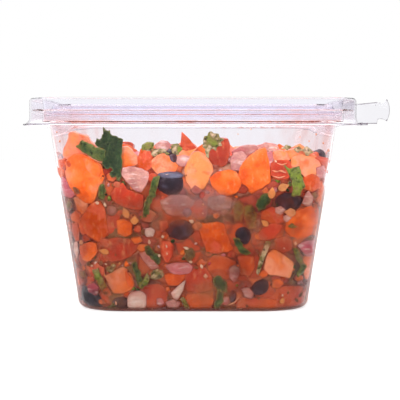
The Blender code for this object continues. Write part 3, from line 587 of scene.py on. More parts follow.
def arc_points(centre, radius, start, end, steps):
    """Points of an arc in the (half, z) plane, between two angles in degrees."""
    points = []
    for step in range(steps + 1):
        angle = math.radians(start + (end - start) * step / steps)
        points.append((centre[0] + radius * math.cos(angle), centre[1] + radius * math.sin(angle)))
    return points


def make_tub(material):
    """The clear tub: flat base, tapered walls, an upright band and a rim."""
    outer = [(BASE_HALF - BASE_FILLET - 12 * MM, 0.0), (BASE_HALF - BASE_FILLET - 1 * MM, 0.0)]
    outer += arc_points((BASE_HALF - BASE_FILLET, BASE_FILLET), BASE_FILLET, -90, 0, 9)
    outer.append((WALL_TOP_HALF, BAND_FOOT_Z))
    outer.append((BAND_HALF, BAND_FOOT_Z))
    outer.append((BAND_HALF, RIM_Z - WALL))
    outer.append((RIM_HALF, RIM_Z - WALL))
    inner = offset_profile(outer, WALL)
    profile = soften_profile(outer, 0.9 * MM) + list(reversed(soften_profile(inner, 0.6 * MM)))
    tub = sheet_object("clear_tub", profile, tub_corner)
    return finish_piece(tub, material, "clear_tub", "tub")


def lid_profile():
    """Upper and outer face of the lid, from the middle panel out to the foot of its side."""
    foot = FLANGE_HALF - SKIRT_HALF
    profile = [
        (PANEL_HALF - 14 * MM, PANEL_Z),
        (PANEL_HALF, PANEL_Z),
        (PANEL_HALF + 0.8 * MM, CHANNEL_Z + WALL),
        (CHANNEL_HALF - WALL, CHANNEL_Z + WALL),
        (CHANNEL_HALF + 0.3 * MM, LID_TOP_Z),
    ]
    profile += arc_points((SKIRT_HALF - EDGE_ROUND, LID_TOP_Z - EDGE_ROUND), EDGE_ROUND, 90, 0, 7)
    profile += arc_points((FLANGE_HALF, FLANGE_Z + WALL + foot), foot, 180, 270, 7)
    return profile


def tab_sheet():
    """The tab's upright plate, its notch and its flared grip: one thin curved sheet with rounded rims."""
    # Millimetres along from the root, then of its low and high rim, of its bulge and of its bow.
    stations = (
        (0.0, 0.0, -0.8, 0.0, 0.0), (4.3, 0.0, -0.4, 0.0, 0.0), (TAB_PLATE, 0.0, 0.0, 0.0, 0.0),
        (8.95, 1.7, -0.2, 0.2, 0.0), (9.7, 1.9, -0.25, 0.5, 0.05), (10.45, 1.9, -0.2, 0.9, 0.1),
        (11.2, 1.75, 0.1, 1.1, 0.3), (11.85, 1.5, 0.5, 1.3, 0.5), (12.25, 1.25, 0.85, 1.55, 0.72),
        (12.5, 1.1, 1.1, 1.7, 0.82), (12.62, 1.02, 1.18, 1.78, 0.88), (TAB_LONG, 1.0, 1.2, 1.8, 0.9),
    )
    shares = (0.0, 0.006, 0.02, 0.05, 0.1, 0.2, 0.35, 0.5, 0.65, 0.8, 0.9, 0.95, 0.98, 0.994, 1.0)
    loops = []
    for along, low, high, bulge, bow in stations:
        to_end = min((TAB_LONG - along) / 0.4, 1.0)
        end_round = max(math.sqrt(1.0 - (1.0 - to_end) ** 2), 0.12)
        faces_of_loop = ([], [])
        for share in shares:
            arch = 1.0 - (2.0 * share - 1.0) ** 2
            bottom = TAB_LOW_Z + low * MM
            top = TAB_HIGH_Z + high * MM
            to_rim = min(min(share, 1.0 - share) * (top - bottom) / (TAB_WALL / 2), 1.0)
            half = TAB_WALL / 2 * max(math.sqrt(1.0 - (1.0 - to_rim) ** 2), 0.12) * end_round
            x = TAB_ROOT_X + (along + bow * arch) * MM
            y = TAB_Y - bulge * arch * MM
            for side, face in zip((-1, 1), faces_of_loop):
                face.append((x, y + side * half, bottom + (top - bottom) * share))
        loops.append(np.array(faces_of_loop[0] + faces_of_loop[1][::-1]))
    return stacked_body("tab_sheet", loops)


def mark_tab_edges(mesh):
    """Store how near each point of the lid is to an edge of its tab or foot, where painted shade makes the
    sheet darker.
    """
    points = mesh_points(mesh)
    along, _, height = ((points - (TAB_ROOT_X, 0.0, 0.0)) / MM).T
    rise = np.interp(along, (0.0, TAB_PLATE, 9.7, TAB_LONG), (-0.8, 0.0, -0.25, 1.2))
    fall = np.interp(along, (0.0, TAB_PLATE, 8.95, 10.45, TAB_LONG), (0.0, 0.0, 1.7, 1.9, 1.0))
    share = (height - TAB_LOW_Z / MM - fall) / ((TAB_HIGH_Z - TAB_LOW_Z) / MM + rise - fall)
    end = TAB_LONG - 0.2 + 0.9 * (1.0 - (2.0 * share - 1.0) ** 2)
    on_rim = (share > 0.965) | (share < 0.03) | (along > end)
    to_foot = np.abs(plan_inset(points, FLANGE_HALF, lid_corner(FLANGE_HALF, FLANGE_Z)))
    on_foot = (to_foot < 0.7 * MM) & (height < FLANGE_Z / MM + 1.2)
    on_tab = np.where(share < -0.01, 0.4, np.where(on_rim, 1.0, 0.06))
    store_values(mesh, "edge", np.where(along > 0.25, on_tab, np.where(on_foot, 0.75, 0.0)))


def soft_block(name, low, high, edge):
    """A small block between two corners, with rounded edges."""
    shape = bmesh.new()
    bmesh.ops.create_cube(shape, size=1.0)
    size = Vector(high) - Vector(low)
    middle = (Vector(high) + Vector(low)) / 2
    for vert in shape.verts:
        vert.co = Vector(a * b for a, b in zip(vert.co, size)) + middle
    bmesh.ops.bevel(shape, geom=shape.edges, offset=edge, segments=3, profile=0.5, affect="EDGES")
    return shape_object(name, shape)


def make_lid(material):
    """The clear lid with its plug ring, side, flared foot and pull tab, formed as one piece."""
    top = lid_profile()
    under = offset_profile(top, -WALL)
    profile = soften_profile(under, 0.5 * MM) + list(reversed(soften_profile(top, 0.8 * MM)))
    lid = sheet_object("clear_lid", profile, lid_corner)
    lip_top = TAB_HIGH_Z - TAB_LIP_DROP
    lip = soft_block(
        "tab_lip",
        (TAB_ROOT_X + 0.6 * MM, TAB_Y - TAB_WALL / 4, lip_top - WALL),
        (TAB_PLATE_END_X - 0.4 * MM, TAB_Y + TAB_LIP_DEPTH, lip_top),
        0.15 * MM,
    )
    foot = soft_block(
        "tab_foot",
        (TAB_ROOT_X, TAB_Y - 3.0 * MM, FLANGE_Z + 0.03 * MM),
        (TAB_FOOT_X, TAB_Y + 2.0 * MM, FLANGE_Z + TAB_FOOT_TALL),
        0.25 * MM,
    )
    join_solids(lid, [tab_sheet(), lip, foot])
    mark_tab_edges(lid.data)
    lid = finish_piece(lid, material, "clear_lid", "lid")
    lid.data.set_sharp_from_angle(angle=math.radians(50))
    return lid


def join_solids(body, pieces):
    """Join closed pieces to a body by one Boolean union, and remove them."""
    group = bpy.data.collections.new("to_join")
    for piece in pieces:
        group.objects.link(piece)
    change = body.modifiers.new("join", "BOOLEAN")
    change.operation = "UNION"
    change.operand_type = "COLLECTION"
    change.collection = group
    change.solver = "EXACT"
    graph = bpy.context.evaluated_depsgraph_get()
    joined = bpy.data.meshes.new_from_object(body.evaluated_get(graph))
    body.modifiers.clear()
    body.data = joined
    for piece in pieces:
        bpy.data.objects.remove(piece, do_unlink=True)
    bpy.data.collections.remove(group)


# Places on the inner face of the tub

def plan_inset(points, half, corner):
    """How far each point lies inside a rounded rectangle of the tub's plan."""
    over_x = np.abs(points[:, 0]) - half + corner
    over_y = np.abs(points[:, 1]) - half + DEPTH_LESS + corner
    outside = np.hypot(np.maximum(over_x, 0.0), np.maximum(over_y, 0.0))
    return corner - outside - np.minimum(np.maximum(over_x, over_y), 0.0)


def side_depth(points):
    """How far each point lies behind the inner face of the side walls."""
    z = np.maximum(points[:, 2], BASE_FILLET)
    return plan_inset(points, wall_half(z) - WALL, wall_corner(z) - WALL)


def wall_depth(points):
    """How far each point lies behind the tub's inner face: walls, rounded edge or base."""
    side = side_depth(points)
    radius = BASE_FILLET - WALL
    past = radius - side
    below = WALL + radius - points[:, 2]
    on_edge = radius - np.hypot(np.maximum(past, 0.0), np.maximum(below, 0.0))
    plain = np.minimum(side, points[:, 2] - WALL)
    return np.where((past > 0) & (below > 0), on_edge, plain)


def uphill(depth_rule, points):
    """Unit directions in which the depth grows fastest."""
    step = 0.02 * MM
    slope = np.zeros_like(points)
    for axis in range(3):
        shift = np.zeros(3)
        shift[axis] = step
        slope[:, axis] = depth_rule(points + shift) - depth_rule(points - shift)
    return slope / np.maximum(np.linalg.norm(slope, axis=1, keepdims=True), 1e-12)


def settle(points):
    """Move points on to the tub's inner face."""
    for _ in range(3):
        points = points - uphill(wall_depth, points) * wall_depth(points)[:, None]
    return points


def keep_inside(points, near):
    """Move points that lie less deep behind the wall than near inwards, and keep them under the roof."""
    for _ in range(3):
        short = np.maximum(near - wall_depth(points), 0.0)
        points = points + uphill(wall_depth, points) * short[:, None]
    points[:, 2] = np.minimum(points[:, 2], HEAP_ROOF_Z)
    return points


def seen_on_wall(pixels):
    """Points of the inner face that the camera sees at the given pixels."""
    forward = np.array((0.0, math.cos(CAMERA_PITCH), -math.sin(CAMERA_PITCH)))
    up = np.array((0.0, math.sin(CAMERA_PITCH), math.cos(CAMERA_PITCH)))
    right = np.array((1.0, 0.0, 0.0))
    middle = PICTURE / 2
    across = np.outer((pixels[:, 0] - middle) / FOCAL, right)
    rays = forward + across + np.outer((middle - pixels[:, 1]) / FOCAL, up)
    near_y, far_y, steps = -50.0 * MM, -16.0 * MM, 300
    lengths = (np.linspace(near_y, far_y, steps) - CAMERA_PLACE.y)[None, :] / rays[:, 1:2]
    path = np.array(CAMERA_PLACE) + rays[:, None, :] * lengths[:, :, None]
    depth = wall_depth(path.reshape(-1, 3)).reshape(len(pixels), steps)
    reached = depth >= 0
    first = np.where(reached.any(axis=1), reached.argmax(axis=1), depth.argmax(axis=1))
    return settle(path[np.arange(len(pixels)), first])


# Shapes of the pieces, flat first: u to the right, v up, w into the tub

Form = namedtuple("Form", "flat depths faces rim shade")


def smooth_outline(corners, count, slack):
    """The closed outline through all its corners, bent softly at each, as evenly spaced points."""
    line = np.array(corners, float)
    before, after, beyond = (np.roll(line, shift, axis=0) for shift in (1, -1, -2))
    parts = []
    for s in np.linspace(0, 1, 8, endpoint=False):
        parts.append(
            (2 * s ** 3 - 3 * s ** 2 + 1) * line + (s ** 3 - 2 * s ** 2 + s) * slack * (after - before)
            + (3 * s ** 2 - 2 * s ** 3) * after + (s ** 3 - s ** 2) * slack * (beyond - line))
    return even_points(np.stack(parts, axis=1).reshape(-1, 2), count)


def even_points(line, count):
    """Evenly spaced points along a closed line."""
    closed = np.vstack((line, line[:1]))
    lengths = np.concatenate(((0.0,), np.cumsum(np.linalg.norm(np.diff(closed, axis=0), axis=1))))
    spots = np.linspace(0, lengths[-1], count, endpoint=False)
    return np.stack([np.interp(spots, lengths, closed[:, axis]) for axis in range(line.shape[1])], axis=1)


def roughen(outline, amount, size, seed):
    """The outline moved in and out a little, as a knife and soft flesh leave it."""
    centre = outline.mean(axis=0)
    rough = []
    for point in outline:
        spot = Vector((point[0] / size, point[1] / size, seed))
        away = point - centre
        rough.append(point + away / max(np.linalg.norm(away), 1e-9) * amount * noise.noise(spot))
    return np.array(rough)


def lumpy(points, amount, size, seed):
    """Points moved a little this way and that, as soft flesh is never quite even."""
    shift = Vector((seed, 0.0, 0.0))
    return points + amount * np.array([noise.noise_vector(Vector(point) / size + shift) for point in points])


def facets(flat, radius, seed, slope):
    """Depth of a face cut by a few planes, and a painted shade, a small tone shift, for the plane that each
    point lies on.
    """
    draw = random.Random(seed)
    levels = []
    shades = []
    turn = draw.uniform(0, math.tau)
    count = draw.choice((3, 4, 4))
    for index in range(count):
        angle = turn + math.tau * index / count + draw.uniform(-0.5, 0.5)
        along = flat @ np.array((math.cos(angle), math.sin(angle)))
        steep = slope * (0.25 if index == 0 else draw.uniform(0.6, 1.5))
        start = 0.0 if index == 0 else draw.uniform(0.05, 0.55) * radius
        levels.append(steep * (along - start))
        shades.append(0.0 if index == 0 else draw.uniform(-0.1, 0.1))
    levels = np.array(levels)
    weights = np.exp((levels - levels.max(axis=0)) / (0.06 * radius * max(slope, 0.02)))
    weights /= weights.sum(axis=0)
    return (weights * levels).sum(axis=0), np.array(shades) @ weights


def soft_waves(flat, size, seed):
    """Soft waves of the given size over flat places."""
    shift = Vector((0.0, 0.0, seed))
    return np.array([noise.noise(Vector((u, v, 0.0)) / size + shift) for u, v in flat])


def pillow(outline, thick, edge, seed=0.0, slope=0.0, wobble=0.0):
    """A cut piece over its outline, with a faceted face, rounded edges, sides and a back."""
    count = len(outline)
    centre = outline.mean(axis=0)
    radius = np.linalg.norm(outline - centre, axis=1).mean()
    edge = min(edge, 0.8 * radius, 0.48 * thick)
    # Rings of the face, the rounded edge and the back: share of the outline, depth, share of the face.
    rings = [(share * (1 - edge / radius), 0.0, 1.0) for share in (0.3, 0.55, 0.76, 0.9)]
    for angle in (0, 18, 38, 62, 90):
        turn = math.radians(angle)
        rings.append((1 - edge * (1 - math.sin(turn)) / radius, edge * (1 - math.cos(turn)), 1.0))
    rings.append((1.0, thick - edge, 0.2))
    rings.append((1 - 0.3 * edge / radius, thick - 0.3 * edge, 0.0))
    rings.append((0.5 * (1 - edge / radius), thick, 0.0))
    rows = [(*centre, 0.0, math.exp(-radius / RIM_FADE), 1.0)]
    for share, depth, front in rings:
        rim = math.exp(-(1 - share) * radius / RIM_FADE) if front == 1.0 else 1.0
        rows += [(*(centre + (point - centre) * share), depth, rim, front) for point in outline]
    rows.append((*centre, thick, 1.0, 0.0))
    u, v, depths, rim, front = np.array(rows).T
    flat = np.column_stack((u, v))
    sunk, shade = facets(flat - centre, radius, seed, slope)
    lowered = front * (sunk + wobble * soft_waves(flat, 3.2 * MM, seed))
    depths = depths + lowered - lowered.min()
    last = 1 + (len(rings) - 1) * count
    faces = [(0, 1 + index, 1 + (index + 1) % count) for index in range(count)]
    faces += ring_faces(len(rings), count, 1)
    faces += [(last + count, last + (index + 1) % count, last + index) for index in range(count)]
    return Form(flat, depths, faces, rim, shade)


def leaf(outline, thick, wave, seed, spacing=1.2 * MM):
    """A thin wavy leaf over the outline."""
    count = len(outline)
    low = outline.min(axis=0)
    high = outline.max(axis=0)
    inner = []
    columns = int((high[0] - low[0]) / spacing)
    rows = int((high[1] - low[1]) / spacing)
    for column in range(1, columns):
        for row in range(1, rows):
            spot = low + (high - low) * np.array((column / columns, row / rows))
            if np.linalg.norm(outline - spot, axis=1).min() > 0.45 * spacing:
                inner.append(spot)
    points = [Vector(point) for point in outline] + [Vector(point) for point in inner]
    loop = [(index, (index + 1) % count) for index in range(count)]
    verts, _, tris, _, _, _ = geometry.delaunay_2d_cdt(points, loop, [], 1, 1e-7)
    flat = np.array([tuple(vert) for vert in verts])
    edges = {}
    for tri in tris:
        for first, second in zip(tri, tri[1:] + tri[:1]):
            edges[(first, second)] = edges.get((first, second), 0) + 1
    rim_edges = [pair for pair in edges if (pair[1], pair[0]) not in edges]
    level = wave * soft_waves(flat, 4.2 * MM, seed)
    to_rim = np.array([np.linalg.norm(outline - point, axis=1).min() for point in flat])
    rim = np.clip(1.0 - to_rim / (1.3 * MM), 0.0, 1.0)
    total = len(flat)
    faces = [tuple(tri) for tri in tris]
    faces += [tuple(index + total for index in reversed(tri)) for tri in tris]
    faces += [(second, first, first + total, second + total) for first, second in rim_edges]
    depths = np.concatenate((level, level + thick)) - level.min()
    return Form(np.vstack((flat, flat)), depths, faces, np.tile(rim, 2), np.tile(level / wave * 0.1, 2))


def turn_outline(u, v, turn):
    """An outline of the given places turned by an angle in degrees."""
    angle = math.radians(turn)
    along = u * math.cos(angle) - v * math.sin(angle)
    return np.stack((along, u * math.sin(angle) + v * math.cos(angle)), axis=1)


def oval_outline(width, height, turn, count, bend=0.0, point=0.0):
    """An oval, bent like a bean or drawn to a point like a seed."""
    angles = np.linspace(0, math.tau, count, endpoint=False)
    u = width / 2 * np.cos(angles)
    v = height / 2 * np.sin(angles)
    v = v - bend * height * (1.0 - (2 * u / width) ** 2)
    u = u * (1.0 - point * np.maximum(np.sin(angles), 0.0))
    return turn_outline(u, v, turn)


def cut_outline(draw, width, height, turn, count, corners=(4, 6)):
    """The uneven outline of a hand-cut piece."""
    number = draw.randint(*corners)
    shift = draw.uniform(0, math.tau)
    line = []
    for index in range(number):
        angle = shift + math.tau * (index + draw.uniform(-0.22, 0.22)) / number
        reach = draw.uniform(0.85, 1.15)
        line.append((width / 2 * reach * math.cos(angle), height / 2 * reach * math.sin(angle)))
    return turn_outline(*smooth_outline(line, count, SLACK).T, turn)


def leaf_outline(draw, width, height, turn, count):
    """The lobed and toothed outline of a scrap of cilantro."""
    phase = draw.uniform(0, math.tau)
    lobes = draw.choice((3, 3, 4, 5))
    angles = np.linspace(0, math.tau, count, endpoint=False)
    lobe = np.abs(np.cos(lobes * angles / 2 + phase)) ** 0.7
    reach = 0.5 + 0.42 * lobe + 0.09 * np.cos(9 * angles + 2 * phase) + 0.05 * np.cos(17 * angles)
    return turn_outline(width / 2 * reach * np.cos(angles), height / 2 * reach * np.sin(angles), turn)


class Pile:
    """All pieces of one kind, gathered into one mesh with what its material reads from each point."""

    def __init__(self, name):
        self.name = name
        self.points = []
        self.faces = []
        self.spots = []
        self.looks = []
        self.count = 0

    def add(self, points, form, tone, cloud):
        """Add one piece: where its points are, its form, its tone and how cloudy the juice over it is."""
        seed = 3.7 * len(self.points)
        total = len(points)
        self.points.append(points)
        self.faces += [tuple(index + self.count for index in face) for face in form.faces]
        self.spots.append(np.column_stack((form.flat / MM, np.full(total, seed))))
        self.looks.append(np.column_stack((tone + form.shade, np.full(total, cloud), form.rim)))
        self.count += total

    def make(self, material):
        """The finished piece of the scene."""
        points = np.vstack(self.points)
        item = mesh_object(self.name, points, self.faces)
        write_looks(item.data, points, np.vstack(self.spots), *np.vstack(self.looks).T)
        return finish_piece(item, material, "salsa")


def write_looks(mesh, points, spots, tones, clouds, rims):
    """Store what a material reads from each point: its tone, how near a rim it is, its place on the
    flat piece, and how much cloudy juice lies in front of it."""
    depth = np.maximum(wall_depth(points) - CLEAR_DEPTH, 0.0)
    sunk = np.clip((LIQUID_Z + 4 * MM - points[:, 2]) / (9 * MM), 0.0, 1.0)
    veil = (1.0 - np.exp(-depth / CLOUD_DEPTH)) * sunk
    soft = np.clip(SOFT_EDGE + 1.6 * clouds, 0.0, 0.9)
    cloud = 1.0 - (1.0 - veil) * (1.0 - clouds) * (1.0 - soft * rims ** 1.6 * sunk)
    for name, values in (("tone", tones), ("cloud", cloud), ("rim", rims)):
        store_values(mesh, name, values)
    attribute = mesh.attributes.new("spot", "FLOAT_VECTOR", "POINT")
    attribute.data.foreach_set("vector", np.asarray(spots, np.float32).ravel())


def place_seen(form, sink):
    """Points of a form whose flat places are places in the photograph."""
    surface = seen_on_wall(form.flat / PIXEL)
    away = surface - np.array(CAMERA_PLACE)
    inwards = uphill(side_depth, surface) + 2.0 * away / np.linalg.norm(away, axis=1, keepdims=True)
    inwards /= np.linalg.norm(inwards, axis=1, keepdims=True)
    return keep_inside(surface + inwards * (form.depths + sink - TOUCH)[:, None], -TOUCH)


def place_on_wall(spot, form, sink):
    """Points of a form laid round the inner face at a spot."""
    inwards = uphill(wall_depth, spot[None, :])[0]
    on_floor = abs(inwards[2]) > 0.7
    upwards = np.array((0.0, 1.0, 0.0)) if on_floor else np.array((0.0, 0.0, 1.0))
    upwards = upwards - inwards * (upwards @ inwards)
    upwards /= np.linalg.norm(upwards)
    right = np.cross(inwards, upwards)
    surface = settle(spot + np.outer(form.flat[:, 0], right) + np.outer(form.flat[:, 1], upwards))
    along = np.tile(inwards, (len(surface), 1)) if on_floor else uphill(side_depth, surface)
    return keep_inside(surface + along * (form.depths + sink - TOUCH)[:, None], -TOUCH)


def heap_height(x, y):
    """Height of the heap's uneven top, which rises a little towards the wall."""
    swell = noise.noise(Vector((x, y, 0.0)) / (28 * MM) + Vector((3.1, 7.7, 1.9)))
    edge_share = max(abs(x) / BASE_HALF, abs(y) / (BASE_HALF - DEPTH_LESS))
    return HEAP_Z + HEAP_SWELL * swell + 1.5 * MM * edge_share


# For each kind: thickness as a share of its size, then in millimetres the rounding of its edges,
# how much its face undulates and how uneven its outline is; and how steeply its facets lie.
KIND_FORM = {
    "tomato": (0.75, 0.6, 0.3, 0.3, 0.2),
    "onion": (0.35, 0.5, 0.25, 0.35, 0.12),
    "bean": (0.72, 6.0, 0.1, 0.15, 0.0),
    "stem": (0.9, 0.9, 0.1, 0.2, 0.0),
    "leaf": (0.0, 0.0, 0.5, 0.8, 0.0),
}
LEAF_THICK = 0.3 * MM
ONION_THIN = 1.6 * MM
ONION_THICK = 3.4 * MM
KIND_PILE = {
    "tomato": "diced_tomato",
    "onion": "diced_onion",
    "bean": "black_beans",
    "stem": "cilantro_stems",
    "leaf": "cilantro_leaves",
}


def kind_form(kind, outline, seed):
    """The form of one piece of a kind over its outline."""
    share, edge, wobble, rough, slope = KIND_FORM[kind]
    outline = roughen(outline, rough * MM, (1.6 if kind == "leaf" else 2.4) * MM, seed)
    if kind == "leaf":
        return leaf(outline, LEAF_THICK, wobble * MM, seed)
    size = 2 * np.linalg.norm(outline - outline.mean(axis=0), axis=1).mean()
    thick = share * size
    if kind == "onion":
        thick = min(max(thick, ONION_THIN), ONION_THICK)
    return pillow(outline, thick, edge * MM, seed, slope, wobble * MM)


def add_front_pieces(piles):
    """The pieces that the photograph shows, each at its own place on the front wall."""
    groups = (
        ("tomato", FRONT_TOMATOES, 52), ("onion", FRONT_ONIONS, 40),
        ("leaf", FRONT_GREENS, 64), ("stem", FRONT_STEMS, 30))
    for kind, rows, count in groups:
        for number, (_, tone, sink, cloud, corners) in enumerate(rows):
            outline = smooth_outline(corners, count, SLACK) * PIXEL
            if kind in ("tomato", "onion"):
                middle = outline.mean(axis=0)
                outline = middle + (outline - middle) * PRESSED_WIDER
            form = kind_form(kind, outline, number * 1.7)
            points = place_seen(form, (sink + 0.004 * number) * MM)
            piles[kind].add(points, form, tone, cloud)
    for number, (_, tone, sink, cloud, place, width, height, turn) in enumerate(FRONT_BEANS):
        outline = oval_outline(width, height, turn, 36, 0.06) * (1, -1) + place
        form = kind_form("bean", outline * PIXEL, number * 2.3)
        piles["bean"].add(place_seen(form, (sink + 0.01 * number) * MM), form, tone, cloud)
    for name, rows, point in (("seed", FRONT_SEEDS, 0.75), ("speck", FRONT_SPECKS, 0.2)):
        for number, (tone, place, width, height, turn) in enumerate(rows):
            outline = oval_outline(width, height, turn, 18, 0.0, point) * (1, -1) + place
            outline = roughen(outline * PIXEL, 0.12 * MM, 0.8 * MM, number)
            form = pillow(outline, 0.9 * MM, 0.5 * MM)
            piles[name].add(place_seen(form, -0.1 * MM), form, tone, 0.0)
    for line in FRONT_THREADS:
        spots = np.array(line, float)
        ahead = np.gradient(spots, axis=0)
        across = np.stack((-ahead[:, 1], ahead[:, 0]), axis=1) / np.linalg.norm(ahead, axis=1, keepdims=True)
        corners = np.vstack((spots + across * THREAD_HALF, (spots - across * THREAD_HALF)[::-1]))
        form = pillow(smooth_outline(corners, 24, THREAD_SLACK) * PIXEL, 0.6 * MM, 0.2 * MM)
        piles["seed"].add(place_seen(form, -0.08 * MM), form, 0.72, 0.0)


def front_spots():
    """Middles and radii on the wall of the pieces that the photograph shows."""
    spots = []
    for rows in (FRONT_TOMATOES, FRONT_ONIONS, FRONT_GREENS, FRONT_STEMS):
        for row in rows:
            corners = np.array(row[4], float)
            middle = corners.mean(axis=0)
            radius = np.linalg.norm(corners - middle, axis=1).mean() * PIXEL
            spots.append((seen_on_wall(middle[None, :])[0], radius))
    for row in FRONT_BEANS:
        place = np.array((row[4],), float)
        spots.append((seen_on_wall(place)[0], 0.45 * row[5] * PIXEL))
    return spots


# Share of each kind among the scattered pieces, with its least and greatest length in millimetres,
# its height as a share of that, and its least and greatest tone.
SCATTER_KINDS = (
    ("tomato", 10, (9.0, 15.0), 0.85, (0.05, 1.0)),
    ("onion", 4, (6.0, 10.0), 0.75, (0.05, 1.0)),
    ("bean", 3, (9.5, 12.0), 0.76, (0.0, 0.45)),
    ("leaf", 4, (7.0, 15.0), 0.55, (0.0, 0.9)),
    ("stem", 1, (7.0, 11.0), 0.24, (0.6, 1.0)),
)


# Rounds of pieces on the wall: share of full size, tries, depth in millimetres, points of an outline.
WALL_ROUNDS = ((1.0, 1700, 0.15, 26), (0.8, 1700, 0.3, 24), (0.55, 1900, 0.3, 18), (0.34, 2400, 0.4, 14))
BASE_SHARE = 0.2
FRONT_TONES = 0.72             # in front such pieces are of the redder tones
FRONT_CLOUDS = (0.2, 0.35, 0.5)    # how cloudy the juice over such a piece is, in front
OTHER_CLOUDS = (0.0, 0.0, 0.08, 0.2)
PACKING = 0.82                 # how near two pieces on the wall may come, as a share of their radii
# Rounds of pieces on top: share of full size, tries, height over the heap in millimetres.
TOP_ROUNDS = ((1.0, 260, 0.4), (0.85, 420, 0.9), (0.6, 500, 1.4))
TOP_PACKING = 0.8
TOP_LEAN = 42                  # how far in degrees such a piece may lean, and a leaf
LEAF_LEAN = 55


def draw_piece(draw, size_share, count):
    """Kind, tone, outline and radius of one scattered piece."""
    row = draw.choices(SCATTER_KINDS, [row[1] for row in SCATTER_KINDS])[0]
    kind, _, (least, most), aspect, (low_tone, high_tone) = row
    length = draw.uniform(least, most) * size_share * MM
    height = length * aspect * draw.uniform(0.85, 1.1)
    turn = draw.uniform(0, 360) if kind != "tomato" else draw.uniform(-30, 30)
    tone = draw.uniform(low_tone, high_tone)
    if kind == "bean":
        outline = oval_outline(length, height, turn, count, 0.07)
    elif kind == "leaf":
        outline = leaf_outline(draw, length, height, turn, count + 10)
    elif kind == "stem":
        outline = cut_outline(draw, length, max(height, 1.8 * MM), turn, count, (4, 4))
    else:
        outline = cut_outline(draw, length, height, turn, count)
    return kind, tone, outline, 0.5 * math.sqrt(length * height)


def wall_spots(draw, tries):
    """Places drawn at random on the inner face: some on the base, the rest round the walls."""
    guesses = []
    for _ in range(tries):
        if draw.random() < BASE_SHARE:
            half = BASE_HALF - BASE_FILLET
            x = draw.uniform(-half, half)
            guesses.append((x, draw.uniform(-half, half) * (1 - DEPTH_LESS / half), WALL))
        else:
            angle = draw.uniform(0, math.tau)
            z = draw.uniform(3.5 * MM, HEAP_Z + 2 * MM)
            reach = 1.2 * wall_half(z)
            guesses.append((reach * math.cos(angle), reach * math.sin(angle), z))
    return settle(settle(np.array(guesses)))


def add_wall_pieces(piles, draw):
    """Pieces pressed against the walls and the base, the largest first, round those of the front."""
    taken = front_spots()
    for share, tries, sink, count in WALL_ROUNDS:
        for spot in wall_spots(draw, tries):
            kind, tone, outline, radius = draw_piece(draw, share, count)
            shown = spot[1] < SHOWN_Y
            if shown and kind != "tomato":
                continue
            gaps = [np.linalg.norm(spot - other) - PACKING * (radius + size) for other, size in taken]
            if min(gaps) < 0:
                continue
            taken.append((spot, radius))
            form = kind_form(kind, outline, len(taken) * 1.3)
            points = place_on_wall(spot, form, sink * draw.uniform(0.0, 2.0) * MM)
            cloud = draw.choice(FRONT_CLOUDS if shown else OTHER_CLOUDS)
            piles[kind].add(points, form, tone * FRONT_TONES if shown else tone, cloud)


def add_top_pieces(piles, draw):
    """Pieces strewn over the top of the heap, turned any way, the largest first."""
    taken = []
    half = wall_half(HEAP_Z) - 5 * MM
    lowest_front_y = -wall_half(HEAP_Z) + DEPTH_LESS + 9 * MM
    for share, tries, lift in TOP_ROUNDS:
        for _ in range(tries):
            kind, tone, outline, radius = draw_piece(draw, share, 26)
            x = draw.uniform(-half, half)
            y = draw.uniform(max(-half + DEPTH_LESS, lowest_front_y), half - DEPTH_LESS)
            if wall_depth(np.array(((x, y, HEAP_Z),)))[0] < 0.7 * radius:
                continue
            gaps = [math.hypot(x - a, y - b) - TOP_PACKING * (radius + size) for a, b, size in taken]
            if gaps and min(gaps) < 0:
                continue
            taken.append((x, y, radius))
            form = kind_form(kind, outline, len(taken) * 1.9)
            thick = form.depths.max()
            lean = LEAF_LEAN if kind == "leaf" else TOP_LEAN
            turn = Euler((
                math.radians(draw.uniform(-lean, lean)), math.radians(draw.uniform(-lean, lean)),
                draw.uniform(0, math.tau))).to_matrix()
            local = np.column_stack((form.flat, thick / 2 - form.depths))
            local = lumpy(local, 0.9 * MM, 5.5 * MM, len(taken))
            middle = np.array((x, y, heap_height(x, y) + lift * MM + 0.22 * thick))
            points = keep_inside(local @ np.array(turn).T + middle, 0.2 * MM)
            piles[kind].add(points, form, tone, 0.0)


def heap_loop(z, behind, count):
    """Evenly spaced points of the space inside the wall at height z, that far behind its inner face."""
    level = max(z, BASE_FILLET)
    rise = min(max(z - WALL, 0.0), BASE_FILLET - WALL)
    radius = BASE_FILLET - WALL
    drawn_in = radius - math.sqrt(max(radius ** 2 - (radius - rise) ** 2, 0.0))
    half = wall_half(level) - WALL - drawn_in - behind
    corner = max(wall_corner(level) - WALL - drawn_in - behind, 2 * MM)
    return even_points(np.array(rounded_loop(half, z, corner, 10, 10)), count)


def make_core(material):
    """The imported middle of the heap, with relief of the size of its finer pieces."""
    count = 200
    relief = 1.1 * MM
    loops = []
    floor_z = WALL + 1.6 * MM
    for share in (0.35, 0.7):
        loops.append(heap_loop(floor_z, CORE_INSET + 2 * MM, count) * (share, share, 1.0))
    for z in np.linspace(floor_z, HEAP_Z - 1 * MM, 46):
        loops.append(heap_loop(z, CORE_INSET, count))
    rim = loops[-1]
    for share in np.linspace(1.0, 0.06, 26):
        ring = rim * (share, share, 1.0)
        ring[:, 2] = [heap_height(x, y) for x, y, _ in ring]
        loops.append(ring)
    for loop in loops:
        for point in loop:
            spot = Vector(point)
            lump = noise.noise(spot / (4.5 * MM)) + 0.5 * noise.noise(spot / (2.0 * MM))
            on_side = point[2] < HEAP_Z - 2 * MM
            out = Vector((point[0], point[1], 0.0)).normalized() if on_side else Vector((0, 0, 1))
            if point[2] > floor_z + 0.1 * MM:
                point += np.array(out) * lump * relief
    core = stacked_body("heap_core", loops)
    return finish_piece(core, material, "salsa", "salsa")


